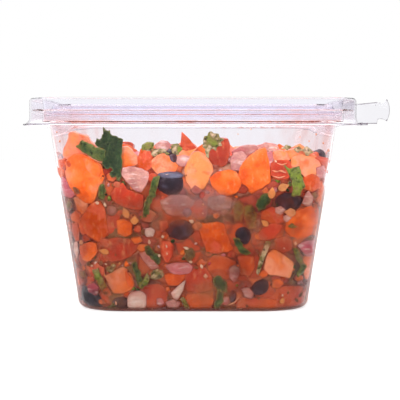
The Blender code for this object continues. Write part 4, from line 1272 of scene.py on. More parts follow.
def make_juice(material):
    """The cloudy juice between the pieces, out to just inside the wall and up to its level."""
    count = 160
    floor_z = WALL - JUICE_TOUCH
    radius = BASE_FILLET - WALL
    loops = [heap_loop(WALL, -JUICE_TOUCH, count) * (0.9, 0.9, 1.0)]
    for step in range(9):
        z = WALL + radius * (1 - math.cos(math.radians(90) * step / 8))
        loops.append(heap_loop(z, -JUICE_TOUCH, count))
    for z in np.linspace(WALL + radius, LIQUID_Z, 14)[1:]:
        loops.append(heap_loop(z, -JUICE_TOUCH, count))
    for share, drop in ((0.99, 0.5), (0.97, 0.8), (0.9, 0.9)):
        ring = heap_loop(LIQUID_Z, -JUICE_TOUCH, count) * (share, share, 1.0)
        ring[:, 2] -= drop * MM
        loops.append(ring)
    loops[0][:, 2] = floor_z
    loops[1][:, 2] = floor_z
    juice = stacked_body("cloudy_juice", loops)
    return finish_piece(juice, material, "salsa")


# Materials

def tone_band(*stops):
    """A band of colours, from stops of a place and the red, green and blue that a picture shows."""
    return [(place, srgb(red, green, blue)) for place, red, green, blue in stops]


TOMATO_TONES = tone_band(
    (0.0, 160, 48, 30), (0.14, 186, 56, 34), (0.26, 206, 64, 38), (0.34, 220, 92, 60), (0.42, 196, 68, 16),
    (0.54, 224, 84, 20), (0.64, 248, 106, 32), (0.74, 246, 118, 50), (0.82, 236, 126, 80),
    (0.9, 244, 150, 112), (1.0, 238, 142, 78))
ONION_TONES = tone_band(
    (0.0, 104, 32, 54), (0.2, 196, 62, 84), (0.4, 206, 112, 112), (0.6, 172, 112, 104),
    (0.8, 226, 168, 150), (1.0, 222, 196, 182))
GREEN_TONES = tone_band(
    (0.0, 40, 56, 34), (0.25, 60, 84, 44), (0.5, 104, 112, 54), (0.72, 122, 138, 42),
    (0.88, 136, 114, 70), (1.0, 212, 182, 146))
# The blue-grey upper tones of the beans serve their painted sheen.
BEAN_TONES = tone_band(
    (0.0, 46, 36, 44), (0.3, 56, 36, 40), (0.55, 84, 52, 54), (0.8, 112, 112, 132), (1.0, 160, 130, 140))
SEED_TONES = tone_band(
    (0.0, 180, 94, 40), (0.25, 196, 128, 74), (0.5, 238, 146, 76), (0.75, 238, 160, 128),
    (1.0, 250, 222, 196))
SPECK_TONES = tone_band((0.0, 26, 18, 16), (0.3, 88, 24, 12), (1.0, 150, 90, 40))
CORE_TONES = tone_band(
    (0.0, 186, 56, 34), (0.2, 222, 86, 36), (0.36, 222, 116, 70), (0.48, 158, 44, 30), (0.6, 196, 138, 112),
    (0.7, 104, 92, 44), (0.8, 62, 40, 40), (0.9, 178, 74, 66), (1.0, 206, 78, 30))
HIGH_JUICE_TONES = tone_band(
    (0.30, 98, 36, 22), (0.40, 150, 50, 28), (0.50, 160, 78, 50), (0.60, 166, 102, 76), (0.74, 132, 80, 42))
LOW_JUICE_TONES = tone_band((0.33, 96, 40, 24), (0.5, 158, 68, 38), (0.66, 164, 98, 60))
LUMP_SCALE = 150.0             # lumps of the core for each metre


def add_node(tree, kind, values=None, **settings):
    """A node with its settings, and with values or links for its inputs."""
    made = tree.nodes.new(kind)
    for name, value in settings.items():
        setattr(made, name, value)
    for socket, value in (values or {}).items():
        if isinstance(value, bpy.types.NodeSocket):
            tree.links.new(value, made.inputs[socket])
        else:
            made.inputs[socket].default_value = value
    return made


def mix_colours(tree, share, first, second, blend="MIX"):
    """A colour between two others."""
    made = add_node(
        tree, "ShaderNodeMix", {0: share, 6: first, 7: second},
        data_type="RGBA", blend_type=blend, clamp_factor=True)
    return made.outputs[2]


def arithmetic(tree, operation, first, second=0.0, clamp=False):
    """One sum on two values."""
    made = add_node(tree, "ShaderNodeMath", {0: first, 1: second}, operation=operation, use_clamp=clamp)
    return made.outputs[0]


def multiply(tree, first, second, clamp=False):
    """The product of two values."""
    return arithmetic(tree, "MULTIPLY", first, second, clamp)


def larger(tree, first, second):
    """The larger of two values."""
    return arithmetic(tree, "MAXIMUM", first, second)


def remap(tree, value, low, high, to_low=0.0, to_high=1.0):
    """A value carried from one range to another, smoothly, and kept within it."""
    made = add_node(tree, "ShaderNodeMapRange", {
        "Value": value, "From Min": low, "From Max": high, "To Min": to_low, "To Max": to_high},
        interpolation_type="SMOOTHSTEP")
    return made.outputs["Result"]


def ramp(tree, value, stops):
    """A colour read from a list of (place, colour) stops."""
    made = add_node(tree, "ShaderNodeValToRGB", {"Fac": value})
    band = made.color_ramp
    while len(band.elements) < len(stops):
        band.elements.new(0.5)
    for element, (place, colour) in zip(band.elements, stops):
        element.position = place
        element.color = colour
    return made.outputs["Color"]


def cloud_noise(tree, vector, scale, detail=3.0, stretch=None):
    """Soft noise from 0 to 1 at a scale for each unit of the vector."""
    if stretch is not None:
        stretched = add_node(tree, "ShaderNodeVectorMath", {0: vector, 1: stretch}, operation="MULTIPLY")
        vector = stretched.outputs[0]
    made = add_node(tree, "ShaderNodeTexNoise", {"Vector": vector, "Scale": scale, "Detail": detail})
    return made.outputs["Fac"]


def cell_edges(tree, vector, scale):
    """How far a place lies from the edges of its cell."""
    made = add_node(
        tree, "ShaderNodeTexVoronoi", {"Vector": vector, "Scale": scale}, feature="DISTANCE_TO_EDGE")
    return made.outputs[0]


def object_place(tree):
    """The place on the piece, in its own axes."""
    return add_node(tree, "ShaderNodeTexCoord").outputs["Object"]


def along_axis(tree, vector, axis="Z"):
    """One axis of a vector."""
    return add_node(tree, "ShaderNodeSeparateXYZ", {0: vector}).outputs[axis]


def height_of(tree):
    """The height of the place on the piece."""
    return along_axis(tree, object_place(tree))


def use_group(tree, group):
    """A shader node group placed in a tree."""
    made = tree.nodes.new("ShaderNodeGroup")
    made.node_tree = group
    return made


def tint_where(tree, colour, value, none, full, share, tint):
    """A colour with up to a share of a tint, from none of it to its full share as a value changes."""
    return mix_colours(tree, remap(tree, value, none, full, 0.0, share), colour, tint)


def dimmed_by(tree, colour, level):
    """A colour multiplied by a level."""
    shade = add_node(tree, "ShaderNodeCombineColor", {0: level, 1: level, 2: level}).outputs[0]
    return mix_colours(tree, 1.0, colour, shade, "MULTIPLY")


def new_group(name, inputs, outputs):
    """An empty shader node group with named inputs and outputs."""
    group = bpy.data.node_groups.new(name, "ShaderNodeTree")
    for label, kind, value in inputs:
        socket = group.interface.new_socket(label, in_out="INPUT", socket_type=kind)
        if value is not None:
            socket.default_value = value
    for label, kind in outputs:
        group.interface.new_socket(label, in_out="OUTPUT", socket_type=kind)
    entry = group.nodes.new("NodeGroupInput")
    leave = group.nodes.new("NodeGroupOutput")
    return group, entry, leave


def dim_below(tree, colour, left):
    """Painted shade under the juice: a colour of which only the given shares are left below its level, where
    the juice takes light away.
    """
    below = remap(tree, height_of(tree), LIQUID_Z + 2 * MM, LIQUID_Z - DIM_DEPTH)
    return mix_colours(tree, below, colour, left, "MULTIPLY")


def haze_mask(tree, place):
    """Nought to one for the paler drift of juice high in the middle of the front."""
    axes = add_node(tree, "ShaderNodeSeparateXYZ", {0: place})
    spread = 0.0
    for axis, middle, reach in (("X", *HAZE_X), ("Z", *HAZE_Z)):
        away = arithmetic(tree, "SUBTRACT", axes.outputs[axis], middle)
        away = arithmetic(tree, "DIVIDE", away, reach)
        spread = arithmetic(tree, "ADD", multiply(tree, away, away), spread)
    ragged = cloud_noise(tree, place, 130.0)
    spread = arithmetic(tree, "ADD", spread, remap(tree, ragged, 0.3, 0.7, 0.5, -0.5))
    near = remap(tree, axes.outputs["Y"], -15 * MM, -30 * MM)
    return multiply(tree, remap(tree, spread, 1.1, 0.2), near)


def base_shadow(tree, place):
    """Nought to one for painted shadow round the tub's rounded foot, where it stands on the floor."""
    normal = add_node(tree, "ShaderNodeTexCoord").outputs["Normal"]
    level = arithmetic(tree, "ABSOLUTE", along_axis(tree, normal))
    low = remap(tree, along_axis(tree, place), 2.6 * MM, 0.8 * MM, 0.0, 0.8)
    return multiply(tree, low, remap(tree, level, 0.97, 0.85))


def make_murk_group():
    """Colour of the cloudy juice: pinkish high up, browner low down, with redder and duller clouds."""
    group, _, leave = new_group("juice_colour", (), (("Color", "NodeSocketColor"),))
    place = object_place(group)
    drift = cloud_noise(group, place, 75.0)
    high = ramp(group, drift, HIGH_JUICE_TONES)
    low = ramp(group, drift, LOW_JUICE_TONES)
    colour = mix_colours(group, remap(group, along_axis(group, place), 45 * MM, 4 * MM, 0.0, 0.8), high, low)
    colour = mix_colours(group, multiply(group, haze_mask(group, place), 0.85), colour, srgb(150, 112, 108))
    # Painted shadow: the juice darkened round the tub's foot.
    colour = mix_colours(group, base_shadow(group, place), colour, srgb(84, 28, 24))
    group.links.new(dim_below(group, colour, JUICE_DIM), leave.inputs["Color"])
    return group


def make_veil_group(murk):
    """A piece's own colour, lost in the cloudy juice by a share."""
    group, entry, leave = new_group(
        "juice_veil",
        (("Color", "NodeSocketColor", None), ("Cloud", "NodeSocketFloat", 0.0)),
        (("Color", "NodeSocketColor"),))
    own = dim_below(group, entry.outputs["Color"], PIECE_DIM)
    colour = mix_colours(group, entry.outputs["Cloud"], own, use_group(group, murk).outputs["Color"])
    group.links.new(colour, leave.inputs["Color"])
    return group


def new_material(name, roughness, ior=1.4, gloss=0.5):
    """A material with a Principled shader, and its tree and shader."""
    material = bpy.data.materials.new(name)
    material.use_nodes = True
    tree = material.node_tree
    shader = tree.nodes["Principled BSDF"]
    shader.inputs["Roughness"].default_value = roughness
    shader.inputs["IOR"].default_value = ior
    shader.inputs["Specular IOR Level"].default_value = gloss
    return material, tree, shader


def read_attribute(tree, name):
    """The value or vector that each point of a piece carries."""
    made = add_node(tree, "ShaderNodeAttribute", attribute_name=name)
    return made.outputs["Vector"] if name == "spot" else made.outputs["Fac"]


def mottled_tone(tree, tones, spread, scale=0.22):
    """The piece's tone read from its band of colours, shifted up and down in soft patches."""
    patches = cloud_noise(tree, read_attribute(tree, "spot"), scale)
    shift = remap(tree, patches, 0.28, 0.72, -spread, spread)
    return ramp(tree, arithmetic(tree, "ADD", read_attribute(tree, "tone"), shift), tones)


def grain(tree, colour, scale, low, high):
    """A colour made a little darker and lighter by fine grain."""
    fine = cloud_noise(tree, read_attribute(tree, "spot"), scale)
    return dimmed_by(tree, colour, remap(tree, fine, 0.3, 0.7, low, high))


def tint_rim(tree, colour, share, tint):
    """A colour with a share of a tint at the rim of the piece."""
    return mix_colours(tree, multiply(tree, read_attribute(tree, "rim"), share), colour, tint)


def add_relief(tree, shader, relief, strength, distance):
    """Fine relief on a surface."""
    bump = add_node(tree, "ShaderNodeBump", {"Height": relief, "Strength": strength, "Distance": distance})
    tree.links.new(bump.outputs["Normal"], shader.inputs["Normal"])


def wet_finish(tree, shader, colour, veil, fine, strength):
    """Lose the colour in the juice by depth, make what stands above the juice glossy, and roughen it."""
    group = use_group(tree, veil)
    tree.links.new(colour, group.inputs["Color"])
    tree.links.new(read_attribute(tree, "cloud"), group.inputs["Cloud"])
    tree.links.new(group.outputs["Color"], shader.inputs["Base Color"])
    height = height_of(tree)
    tree.links.new(remap(tree, height, 48 * MM, 57 * MM, 0.75, 0.3), shader.inputs["Roughness"])
    tree.links.new(remap(tree, height, 50 * MM, 60 * MM, 0.0, 0.5), shader.inputs["Coat Weight"])
    shader.inputs["Coat Roughness"].default_value = 0.15
    relief = cloud_noise(tree, read_attribute(tree, "spot"), fine)
    add_relief(tree, shader, relief, strength, 0.3 * MM)


def make_tomato_material(veil):
    """Diced tomato: soft patches, pale threads of flesh, a cut edge painted paler as lit translucent flesh,
    and tiny painted wet glints.
    """
    material, tree, shader = new_material("diced_tomato_flesh", 0.3, 1.4, 0.08)
    spot = read_attribute(tree, "spot")
    colour = mottled_tone(tree, TOMATO_TONES, 0.09)
    threads = cloud_noise(tree, spot, 0.9, 4.0, (0.9, 0.3, 1.0))
    colour = tint_where(tree, colour, threads, 0.54, 0.78, 0.36, srgb(255, 180, 120))
    colour = tint_where(tree, colour, cloud_noise(tree, spot, 0.45, 2.0), 0.44, 0.26, 0.35, srgb(186, 44, 16))
    # Painted light: the rim paler, as where the translucent flesh is lit through.
    colour = tint_rim(tree, colour, 0.16, srgb(236, 130, 84))
    # Painted highlights: tiny near-white wet glints.
    colour = tint_where(tree, colour, cloud_noise(tree, spot, 2.2, 2.0), 0.70, 0.78, 0.5, srgb(255, 222, 200))
    colour = grain(tree, colour, 2.6, 0.86, 1.1)
    wet_finish(tree, shader, colour, veil, 1.1, 0.5)
    return material


def make_onion_material(veil):
    """Diced onion: pale flesh in layers, with fine curved lines and a pinker rim."""
    material, tree, shader = new_material("diced_onion_flesh", 0.3, 1.4, 0.08)
    colour = mottled_tone(tree, ONION_TONES, 0.08)
    layers = cloud_noise(tree, read_attribute(tree, "spot"), 0.5, 3.0, (0.5, 1.6, 1.0))
    colour = tint_where(tree, colour, layers, 0.52, 0.72, 0.5, srgb(250, 232, 224))
    colour = tint_where(tree, colour, layers, 0.46, 0.3, 0.45, srgb(184, 100, 108))
    colour = tint_rim(tree, colour, 0.4, srgb(206, 124, 116))
    colour = grain(tree, colour, 1.8, 0.88, 1.08)
    wet_finish(tree, shader, colour, veil, 0.8, 0.4)
    return material


def make_bean_material(veil):
    """Black bean: dark skin with soft patches of painted blue-grey sheen and a browner rim."""
    material, tree, shader = new_material("black_bean_skin", 0.25, 1.4, 0.12)
    colour = mottled_tone(tree, BEAN_TONES, 0.08)
    # Painted sheen: soft blue-grey patches on the dark skin.
    painted_sheen = cloud_noise(tree, read_attribute(tree, "spot"), 0.3)
    colour = tint_where(tree, colour, painted_sheen, 0.5, 0.75, 0.35, srgb(104, 100, 122))
    colour = tint_rim(tree, colour, 0.2, srgb(88, 54, 56))
    colour = grain(tree, colour, 2.0, 0.85, 1.15)
    wet_finish(tree, shader, colour, veil, 0.5, 0.12)
    return material


def make_green_material(name, veil, vein_scale, vein_share):
    """Cilantro: dark blade or stalk with lighter veins, a yellow-green rim and painted shade of folds in dark
    patches.
    """
    material, tree, shader = new_material(name, 0.4, 1.4, 0.08)
    spot = read_attribute(tree, "spot")
    colour = mottled_tone(tree, GREEN_TONES, 0.16, 0.3)
    # Painted shade: near-black patches where the leaf is folded.
    colour = tint_where(tree, colour, cloud_noise(tree, spot, 0.8), 0.5, 0.34, 0.8, srgb(24, 36, 24))
    veins = cell_edges(tree, spot, vein_scale)
    colour = tint_where(tree, colour, veins, 0.1, 0.0, vein_share, srgb(150, 160, 84))
    colour = tint_where(tree, colour, read_attribute(tree, "rim"), 0.55, 1.0, 0.45, srgb(140, 138, 74))
    colour = grain(tree, colour, 2.4, 0.8, 1.15)
    wet_finish(tree, shader, colour, veil, 1.5, 0.6)
    return material


def make_bit_material(name, tones, veil):
    """Seeds and small bits: a darker heart and a translucent, paler rim."""
    material, tree, shader = new_material(name, 0.3, 1.4, 0.1)
    colour = mottled_tone(tree, tones, 0.06, 0.6)
    colour = tint_rim(tree, colour, 0.35, srgb(226, 150, 104))
    colour = grain(tree, colour, 2.0, 0.85, 1.1)
    wet_finish(tree, shader, colour, veil, 1.6, 0.4)
    return material


def make_core_material(murk):
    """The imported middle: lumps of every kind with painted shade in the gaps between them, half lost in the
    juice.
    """
    material, tree, shader = new_material("heap_core_mixed", 0.6, 1.4, 0.1)
    place = object_place(tree)
    wander = add_node(tree, "ShaderNodeTexNoise", {"Vector": place, "Scale": LUMP_SCALE, "Detail": 3.0})
    bent = add_node(
        tree, "ShaderNodeVectorMath", {0: wander.outputs["Color"], 1: (6 * MM,) * 3, 2: place},
        operation="MULTIPLY_ADD").outputs[0]
    lumps = add_node(
        tree, "ShaderNodeTexVoronoi", {"Vector": bent, "Scale": LUMP_SCALE, "Smoothness": 0.35},
        feature="SMOOTH_F1")
    pick = add_node(tree, "ShaderNodeSeparateColor", {0: lumps.outputs["Color"]}).outputs["Red"]
    gaps = cell_edges(tree, bent, LUMP_SCALE)
    # Painted shade: the gaps between the lumps darkened.
    colour = tint_where(tree, ramp(tree, pick, CORE_TONES), gaps, 0.2, 0.0, 0.6, srgb(96, 38, 26))
    share = remap(tree, along_axis(tree, place), 50 * MM, 58 * MM, 0.42, 0.1)
    juice = use_group(tree, murk).outputs["Color"]
    colour = mix_colours(tree, share, dim_below(tree, colour, PIECE_DIM), juice)
    tree.links.new(colour, shader.inputs["Base Color"])
    add_relief(tree, shader, gaps, 0.6, 1.2 * MM)
    return material


def make_juice_material(murk):
    """Thin cloudy juice, denser in drifts and where one looks along it, and clear at its top."""
    material, tree, shader = new_material("cloudy_juice", 0.4, 1.33, 0.05)
    tree.links.new(use_group(tree, murk).outputs["Color"], shader.inputs["Base Color"])
    place = object_place(tree)
    drift = remap(tree, cloud_noise(tree, place, 95.0), 0.47, 0.75, 0.0, 0.4)
    drift = arithmetic(tree, "ADD", drift, multiply(tree, haze_mask(tree, place), HAZE_SHARE))
    facing = add_node(tree, "ShaderNodeLayerWeight", {"Blend": 0.5}).outputs["Facing"]
    along = remap(tree, facing, 0.36, 0.425, 0.0, 0.95)
    below = remap(tree, along_axis(tree, place), LIQUID_Z - 0.5 * MM, LIQUID_Z - 9 * MM)
    # The painted shadow round the foot also makes the juice denser there.
    dense = larger(tree, larger(tree, drift, along), base_shadow(tree, place))
    dense = multiply(tree, dense, below, True)
    path = add_node(tree, "ShaderNodeLightPath")
    dense = multiply(tree, dense, arithmetic(tree, "SUBTRACT", 1.0, path.outputs["Is Shadow Ray"]))
    tree.links.new(dense, shader.inputs["Alpha"])
    return material


def tub_corner_light_and_film(tree, colour):
    """Faint painted pink of the salsa seen bent through the wall's upper corners, and a thin film of juice
    along the ledge under the band.
    """
    place = object_place(tree)
    axes = add_node(tree, "ShaderNodeSeparateXYZ", {0: place})
    high = remap(tree, axes.outputs["Z"], 56 * MM, 66 * MM)
    corner = remap(tree, arithmetic(tree, "ABSOLUTE", axes.outputs["X"]), 30 * MM, 52 * MM, 0.12, 1.0)
    streaks = remap(tree, cloud_noise(tree, place, 190.0, 3.0, (1.0, 1.0, 0.35)), 0.4, 0.75, 0.25, 1.0)
    share = multiply(tree, multiply(tree, high, corner), streaks)
    # Painted light: the salsa's pink, seen bent through the upper corners of the wall.
    colour = mix_colours(tree, multiply(tree, share, 0.6), colour, srgb(240, 196, 190))
    ledge = arithmetic(tree, "ABSOLUTE", arithmetic(tree, "SUBTRACT", axes.outputs["Z"], BAND_FOOT_Z))
    patches = remap(tree, cloud_noise(tree, place, 60.0), 0.42, 0.62, 0.0, 0.75)
    film = multiply(tree, remap(tree, ledge, 1.6 * MM, 0.1 * MM), patches)
    film = multiply(tree, film, remap(tree, cloud_noise(tree, place, 420.0), 0.35, 0.6))
    return mix_colours(tree, film, colour, srgb(222, 128, 98))


def lid_edge_shade(tree, colour):
    """Painted shade along the edges of the lid's tab and foot."""
    return mix_colours(tree, read_attribute(tree, "edge"), colour, srgb(120, 110, 122))


def make_clear_plastic(name, bending, tint, rim, finish):
    """Clear formed plastic that lets lamps through, with painted shade, a little darker, where one looks
    along it.
    """
    material, tree, shader = new_material(name, 0.02, bending)
    shader.inputs["Transmission Weight"].default_value = 1.0
    facing = add_node(tree, "ShaderNodeLayerWeight", {"Blend": 0.5}).outputs["Facing"]
    # Painted shade: the sheet's colour turns to a darker rim colour where one looks along it, for its dark
    # edges.
    colour = mix_colours(tree, remap(tree, facing, 0.72, 1.0), tint, rim)
    tree.links.new(finish(tree, colour), shader.inputs["Base Color"])
    clear = add_node(tree, "ShaderNodeBsdfTransparent", {"Color": tint})
    path = add_node(tree, "ShaderNodeLightPath")
    both = add_node(tree, "ShaderNodeMixShader", {
        0: path.outputs["Is Shadow Ray"], 1: shader.outputs[0], 2: clear.outputs[0]})
    tree.links.new(both.outputs[0], tree.nodes["Material Output"].inputs["Surface"])
    return material


def make_materials():
    """Every material of the scene, by the piece that wears it."""
    murk = make_murk_group()
    veil = make_veil_group(murk)
    return {
        "tomato": make_tomato_material(veil),
        "onion": make_onion_material(veil),
        "leaf": make_green_material("cilantro_leaf", veil, 0.75, 0.1),
        "stem": make_green_material("cilantro_stem", veil, 0.8, 0.15),
        "bean": make_bean_material(veil),
        "seed": make_bit_material("tomato_seed", SEED_TONES, veil),
        "speck": make_bit_material("dark_fleck", SPECK_TONES, veil),
        "core": make_core_material(murk),
        "juice": make_juice_material(murk),
        "tub": make_clear_plastic(
            "clear_tub_plastic", 1.22, (0.965, 0.955, 0.985, 1.0), srgb(232, 206, 208), tub_corner_light_and_film),
        "lid": make_clear_plastic(
            "clear_lid_plastic", 1.12, (0.955, 0.95, 0.985, 1.0), srgb(228, 214, 222), lid_edge_shade),
    }


# Small things that a rule scatters

def scatter_tree():
    """Geometry nodes that strew a small shape over a surface, each turned, sized and toned at random."""
    tree = bpy.data.node_groups.new("strew_small_things", "GeometryNodeTree")
    wanted = (
        ("Surface", "NodeSocketGeometry"), ("Shape", "NodeSocketObject"), ("Material", "NodeSocketMaterial"),
        ("Number per square metre", "NodeSocketFloat"), ("Least size", "NodeSocketFloat"),
        ("Greatest size", "NodeSocketFloat"), ("Least tone", "NodeSocketFloat"),
        ("Greatest tone", "NodeSocketFloat"), ("Seed", "NodeSocketInt"))
    names = {}
    for label, kind in wanted:
        names[label] = tree.interface.new_socket(label, in_out="INPUT", socket_type=kind).identifier
    tree.interface.new_socket("Geometry", in_out="OUTPUT", socket_type="NodeSocketGeometry")
    entry = tree.nodes.new("NodeGroupInput").outputs
    leave = tree.nodes.new("NodeGroupOutput")
    points = add_node(tree, "GeometryNodeDistributePointsOnFaces", {
        "Mesh": entry["Surface"], "Density": entry["Number per square metre"], "Seed": entry["Seed"]})
    spin = add_node(tree, "FunctionNodeRandomValue", {
        2: 0.0, 3: math.tau, 8: entry["Seed"]}, data_type="FLOAT")
    turn = add_node(tree, "FunctionNodeAxisAngleToRotation", {
        "Axis": (0.0, 0.0, 1.0), "Angle": spin.outputs[1]})
    facing = add_node(tree, "FunctionNodeRotateRotation", {
        "Rotation": points.outputs["Rotation"], "Rotate By": turn.outputs[0]}, rotation_space="LOCAL")
    size = add_node(tree, "FunctionNodeRandomValue", {
        2: entry["Least size"], 3: entry["Greatest size"], 8: entry["Seed"]}, data_type="FLOAT")
    shape = add_node(tree, "GeometryNodeObjectInfo", {"Object": entry["Shape"]})
    strewn = add_node(tree, "GeometryNodeInstanceOnPoints", {
        "Points": points.outputs["Points"], "Instance": shape.outputs["Geometry"],
        "Rotation": facing.outputs[0], "Scale": size.outputs[1]})
    later = arithmetic(tree, "ADD", entry["Seed"], 7.0)
    tone = add_node(tree, "FunctionNodeRandomValue", {
        2: entry["Least tone"], 3: entry["Greatest tone"], 8: later}, data_type="FLOAT")
    toned = add_node(tree, "GeometryNodeStoreNamedAttribute", {
        "Geometry": strewn.outputs["Instances"], "Name": "tone", "Value": tone.outputs[1]},
        data_type="FLOAT", domain="INSTANCE")
    plain = add_node(tree, "GeometryNodeRealizeInstances", {0: toned.outputs[0]})
    dressed = add_node(tree, "GeometryNodeSetMaterial", {
        "Geometry": plain.outputs[0], "Material": entry["Material"]})
    tree.links.new(dressed.outputs[0], leave.inputs[0])
    return tree, names


def wall_band(behind, least_y):
    """A surface just behind the wall, for a rule to strew things on, without what lies in front of a line."""
    count = 120
    levels = np.linspace(STREWN_LOW_Z, STREWN_HIGH_Z, 14)
    points = np.vstack([heap_loop(z, behind, count) for z in levels])
    faces = [face for face in ring_faces(len(levels), count) if points[face[0]][1] >= least_y]
    return mesh_object("wall_band", points, faces)


def heap_skin():
    """A surface just over the top of the heap, for a rule to strew things on."""
    half = wall_half(HEAP_Z) - 7 * MM
    steps = 24
    points = []
    faces = []
    for column in range(steps + 1):
        for row in range(steps + 1):
            x = -half + 2 * half * column / steps
            y = -half + DEPTH_LESS + 2 * (half - DEPTH_LESS) * row / steps
            points.append((x, y, heap_height(x, y) + 3.2 * MM))
            if column < steps and row < steps:
                near = column * (steps + 1) + row
                faces.append((near, near + steps + 1, near + steps + 2, near + 1))
    return mesh_object("heap_skin", points, faces)


def crumb(name, stretch, seed):
    """One small uneven shape about a millimetre across, lying flat."""
    shape = bmesh.new()
    bmesh.ops.create_icosphere(shape, subdivisions=1, radius=0.5 * MM)
    for vert in shape.verts:
        pull = 1.0 + 0.35 * noise.noise(vert.co / MM * 2.1 + Vector((seed, 0, 0)))
        vert.co = Vector(value * share for value, share in zip(vert.co, stretch)) * pull
    return shape_object(name, shape)


def strew(name, surface, shape, material, density, sizes, tones, seed, tree, names, near):
    """A finished piece of small things strewn over a surface, kept off the wall."""
    change = surface.modifiers.new("strew", "NODES")
    change.node_group = tree
    values = {
        "Shape": shape, "Material": material, "Number per square metre": float(density),
        "Least size": sizes[0], "Greatest size": sizes[1], "Least tone": tones[0], "Greatest tone": tones[1],
        "Seed": seed}
    for label, value in values.items():
        change[names[label]] = value
    graph = bpy.context.evaluated_depsgraph_get()
    mesh = bpy.data.meshes.new_from_object(surface.evaluated_get(graph))
    surface.modifiers.clear()
    item = link_object(name, mesh)
    points = keep_inside(mesh_points(mesh), near)
    mesh.vertices.foreach_set("co", points.ravel())
    found = np.zeros(len(points), np.float32)
    mesh.attributes["tone"].data.foreach_get("value", found)
    mesh.attributes.remove(mesh.attributes["tone"])
    nothing = np.zeros(len(points))
    write_looks(mesh, points, points / MM, found, nothing, nothing)
    bpy.data.objects.remove(surface, do_unlink=True)
    return finish_piece(item, material, "salsa")


STREWN_LOW_Z = 2.2 * MM
STREWN_HIGH_Z = LIQUID_Z + 4 * MM
ALL_ROUND = -1.0               # lines along X that none lies in front of
NOT_IN_FRONT = -30 * MM
# Small things at the wall: name, material, shape, millimetres behind the wall, line that none lies in
# front of, number a square metre, sizes, tones, and the least depth behind the wall in millimetres.
STREWN_AT_WALL = (
    ("minced_tomato", "tomato", "bit", 1.8, ALL_ROUND, 13000, (0.8, 2.8), (0.1, 0.8), 1.4),
    ("minced_onion", "onion", "bit", 1.6, ALL_ROUND, 6000, (0.6, 2.2), (0.2, 1.0), 1.2),
    ("minced_herb", "leaf", "bit", 1.4, ALL_ROUND, 6000, (0.5, 2.0), (0.0, 0.8), 1.0),
    ("fine_bits", "seed", "bit", 0.6, ALL_ROUND, 7000, (0.2, 0.8), (0.3, 1.0), 0.3),
    ("fine_flecks", "speck", "bit", 0.4, ALL_ROUND, 2200, (0.3, 0.9), (0.0, 0.5), 0.1),
    ("seeds_at_the_wall", "seed", "grain", 0.2, NOT_IN_FRONT, 2400, (1.4, 2.6), (0.3, 0.8), 0.0),
    ("flecks_at_the_wall", "speck", "bit", 0.2, NOT_IN_FRONT, 2000, (0.5, 1.3), (0.0, 0.4), 0.0),
    ("bits_at_the_wall", "seed", "bit", 0.2, NOT_IN_FRONT, 5000, (0.4, 1.2), (0.6, 1.0), 0.0),
)
# And on top: name, material, shape, number a square metre, sizes and tones.
STREWN_ON_TOP = (
    ("seeds_on_top", "seed", "grain", 5000, (0.8, 2.6), (0.2, 0.9)),
    ("minced_onion_on_top", "onion", "bit", 5000, (0.8, 3.0), (0.2, 1.0)),
    ("minced_herb_on_top", "leaf", "bit", 7000, (0.8, 3.2), (0.0, 0.8)),
)


def add_small_things(materials):
    """Seeds, dark flecks, and minced tomato, onion and herb, strewn by one rule."""
    tree, names = scatter_tree()
    shapes = {
        "bit": crumb("bit_shape", (1.0, 1.4, 0.5), 1.0),
        "grain": crumb("seed_shape", (1.0, 1.5, 0.45), 5.0)}
    for seed, row in enumerate(STREWN_AT_WALL, 3):
        name, kind, shape, behind, least_y, density, sizes, tones, near = row
        band = wall_band(behind * MM, least_y)
        strew(name, band, shapes[shape], materials[kind], density, sizes, tones, seed, tree, names, near * MM)
    for seed, (name, kind, shape, density, sizes, tones) in enumerate(STREWN_ON_TOP, 21):
        skin = heap_skin()
        strew(name, skin, shapes[shape], materials[kind], density, sizes, tones, seed, tree, names, 0.4 * MM)
    for shape in shapes.values():
        bpy.data.objects.remove(shape, do_unlink=True)


# The studio

WHITE = (1.0, 1.0, 1.0, 1.0)
FLOOR_HALF = 4.0
FLOOR_Z = -0.1 * MM
LAMP_AIM = Vector((0.0, 0.0, 40 * MM))
# Name, place, size and power of each lamp.
LAMPS = (
    ("key", (-0.55, -0.95, 0.75), 0.7, 7.6),
    ("fill", (0.8, -0.8, 0.45), 0.8, 4.3),
    ("roof", (0.0, 0.3, 1.3), 1.2, 7.8),
)
MIRRORINGS = 64                # light is mirrored many times inside the clear plastic before it leaves


def only_bent(tree, path):
    """One for light that the plastic bends and nowhere mirrors, and nought for the rest."""
    unmirrored = arithmetic(tree, "LESS_THAN", path.outputs["Glossy Depth"], 0.5)
    return multiply(tree, path.outputs["Is Transmission Ray"], unmirrored)


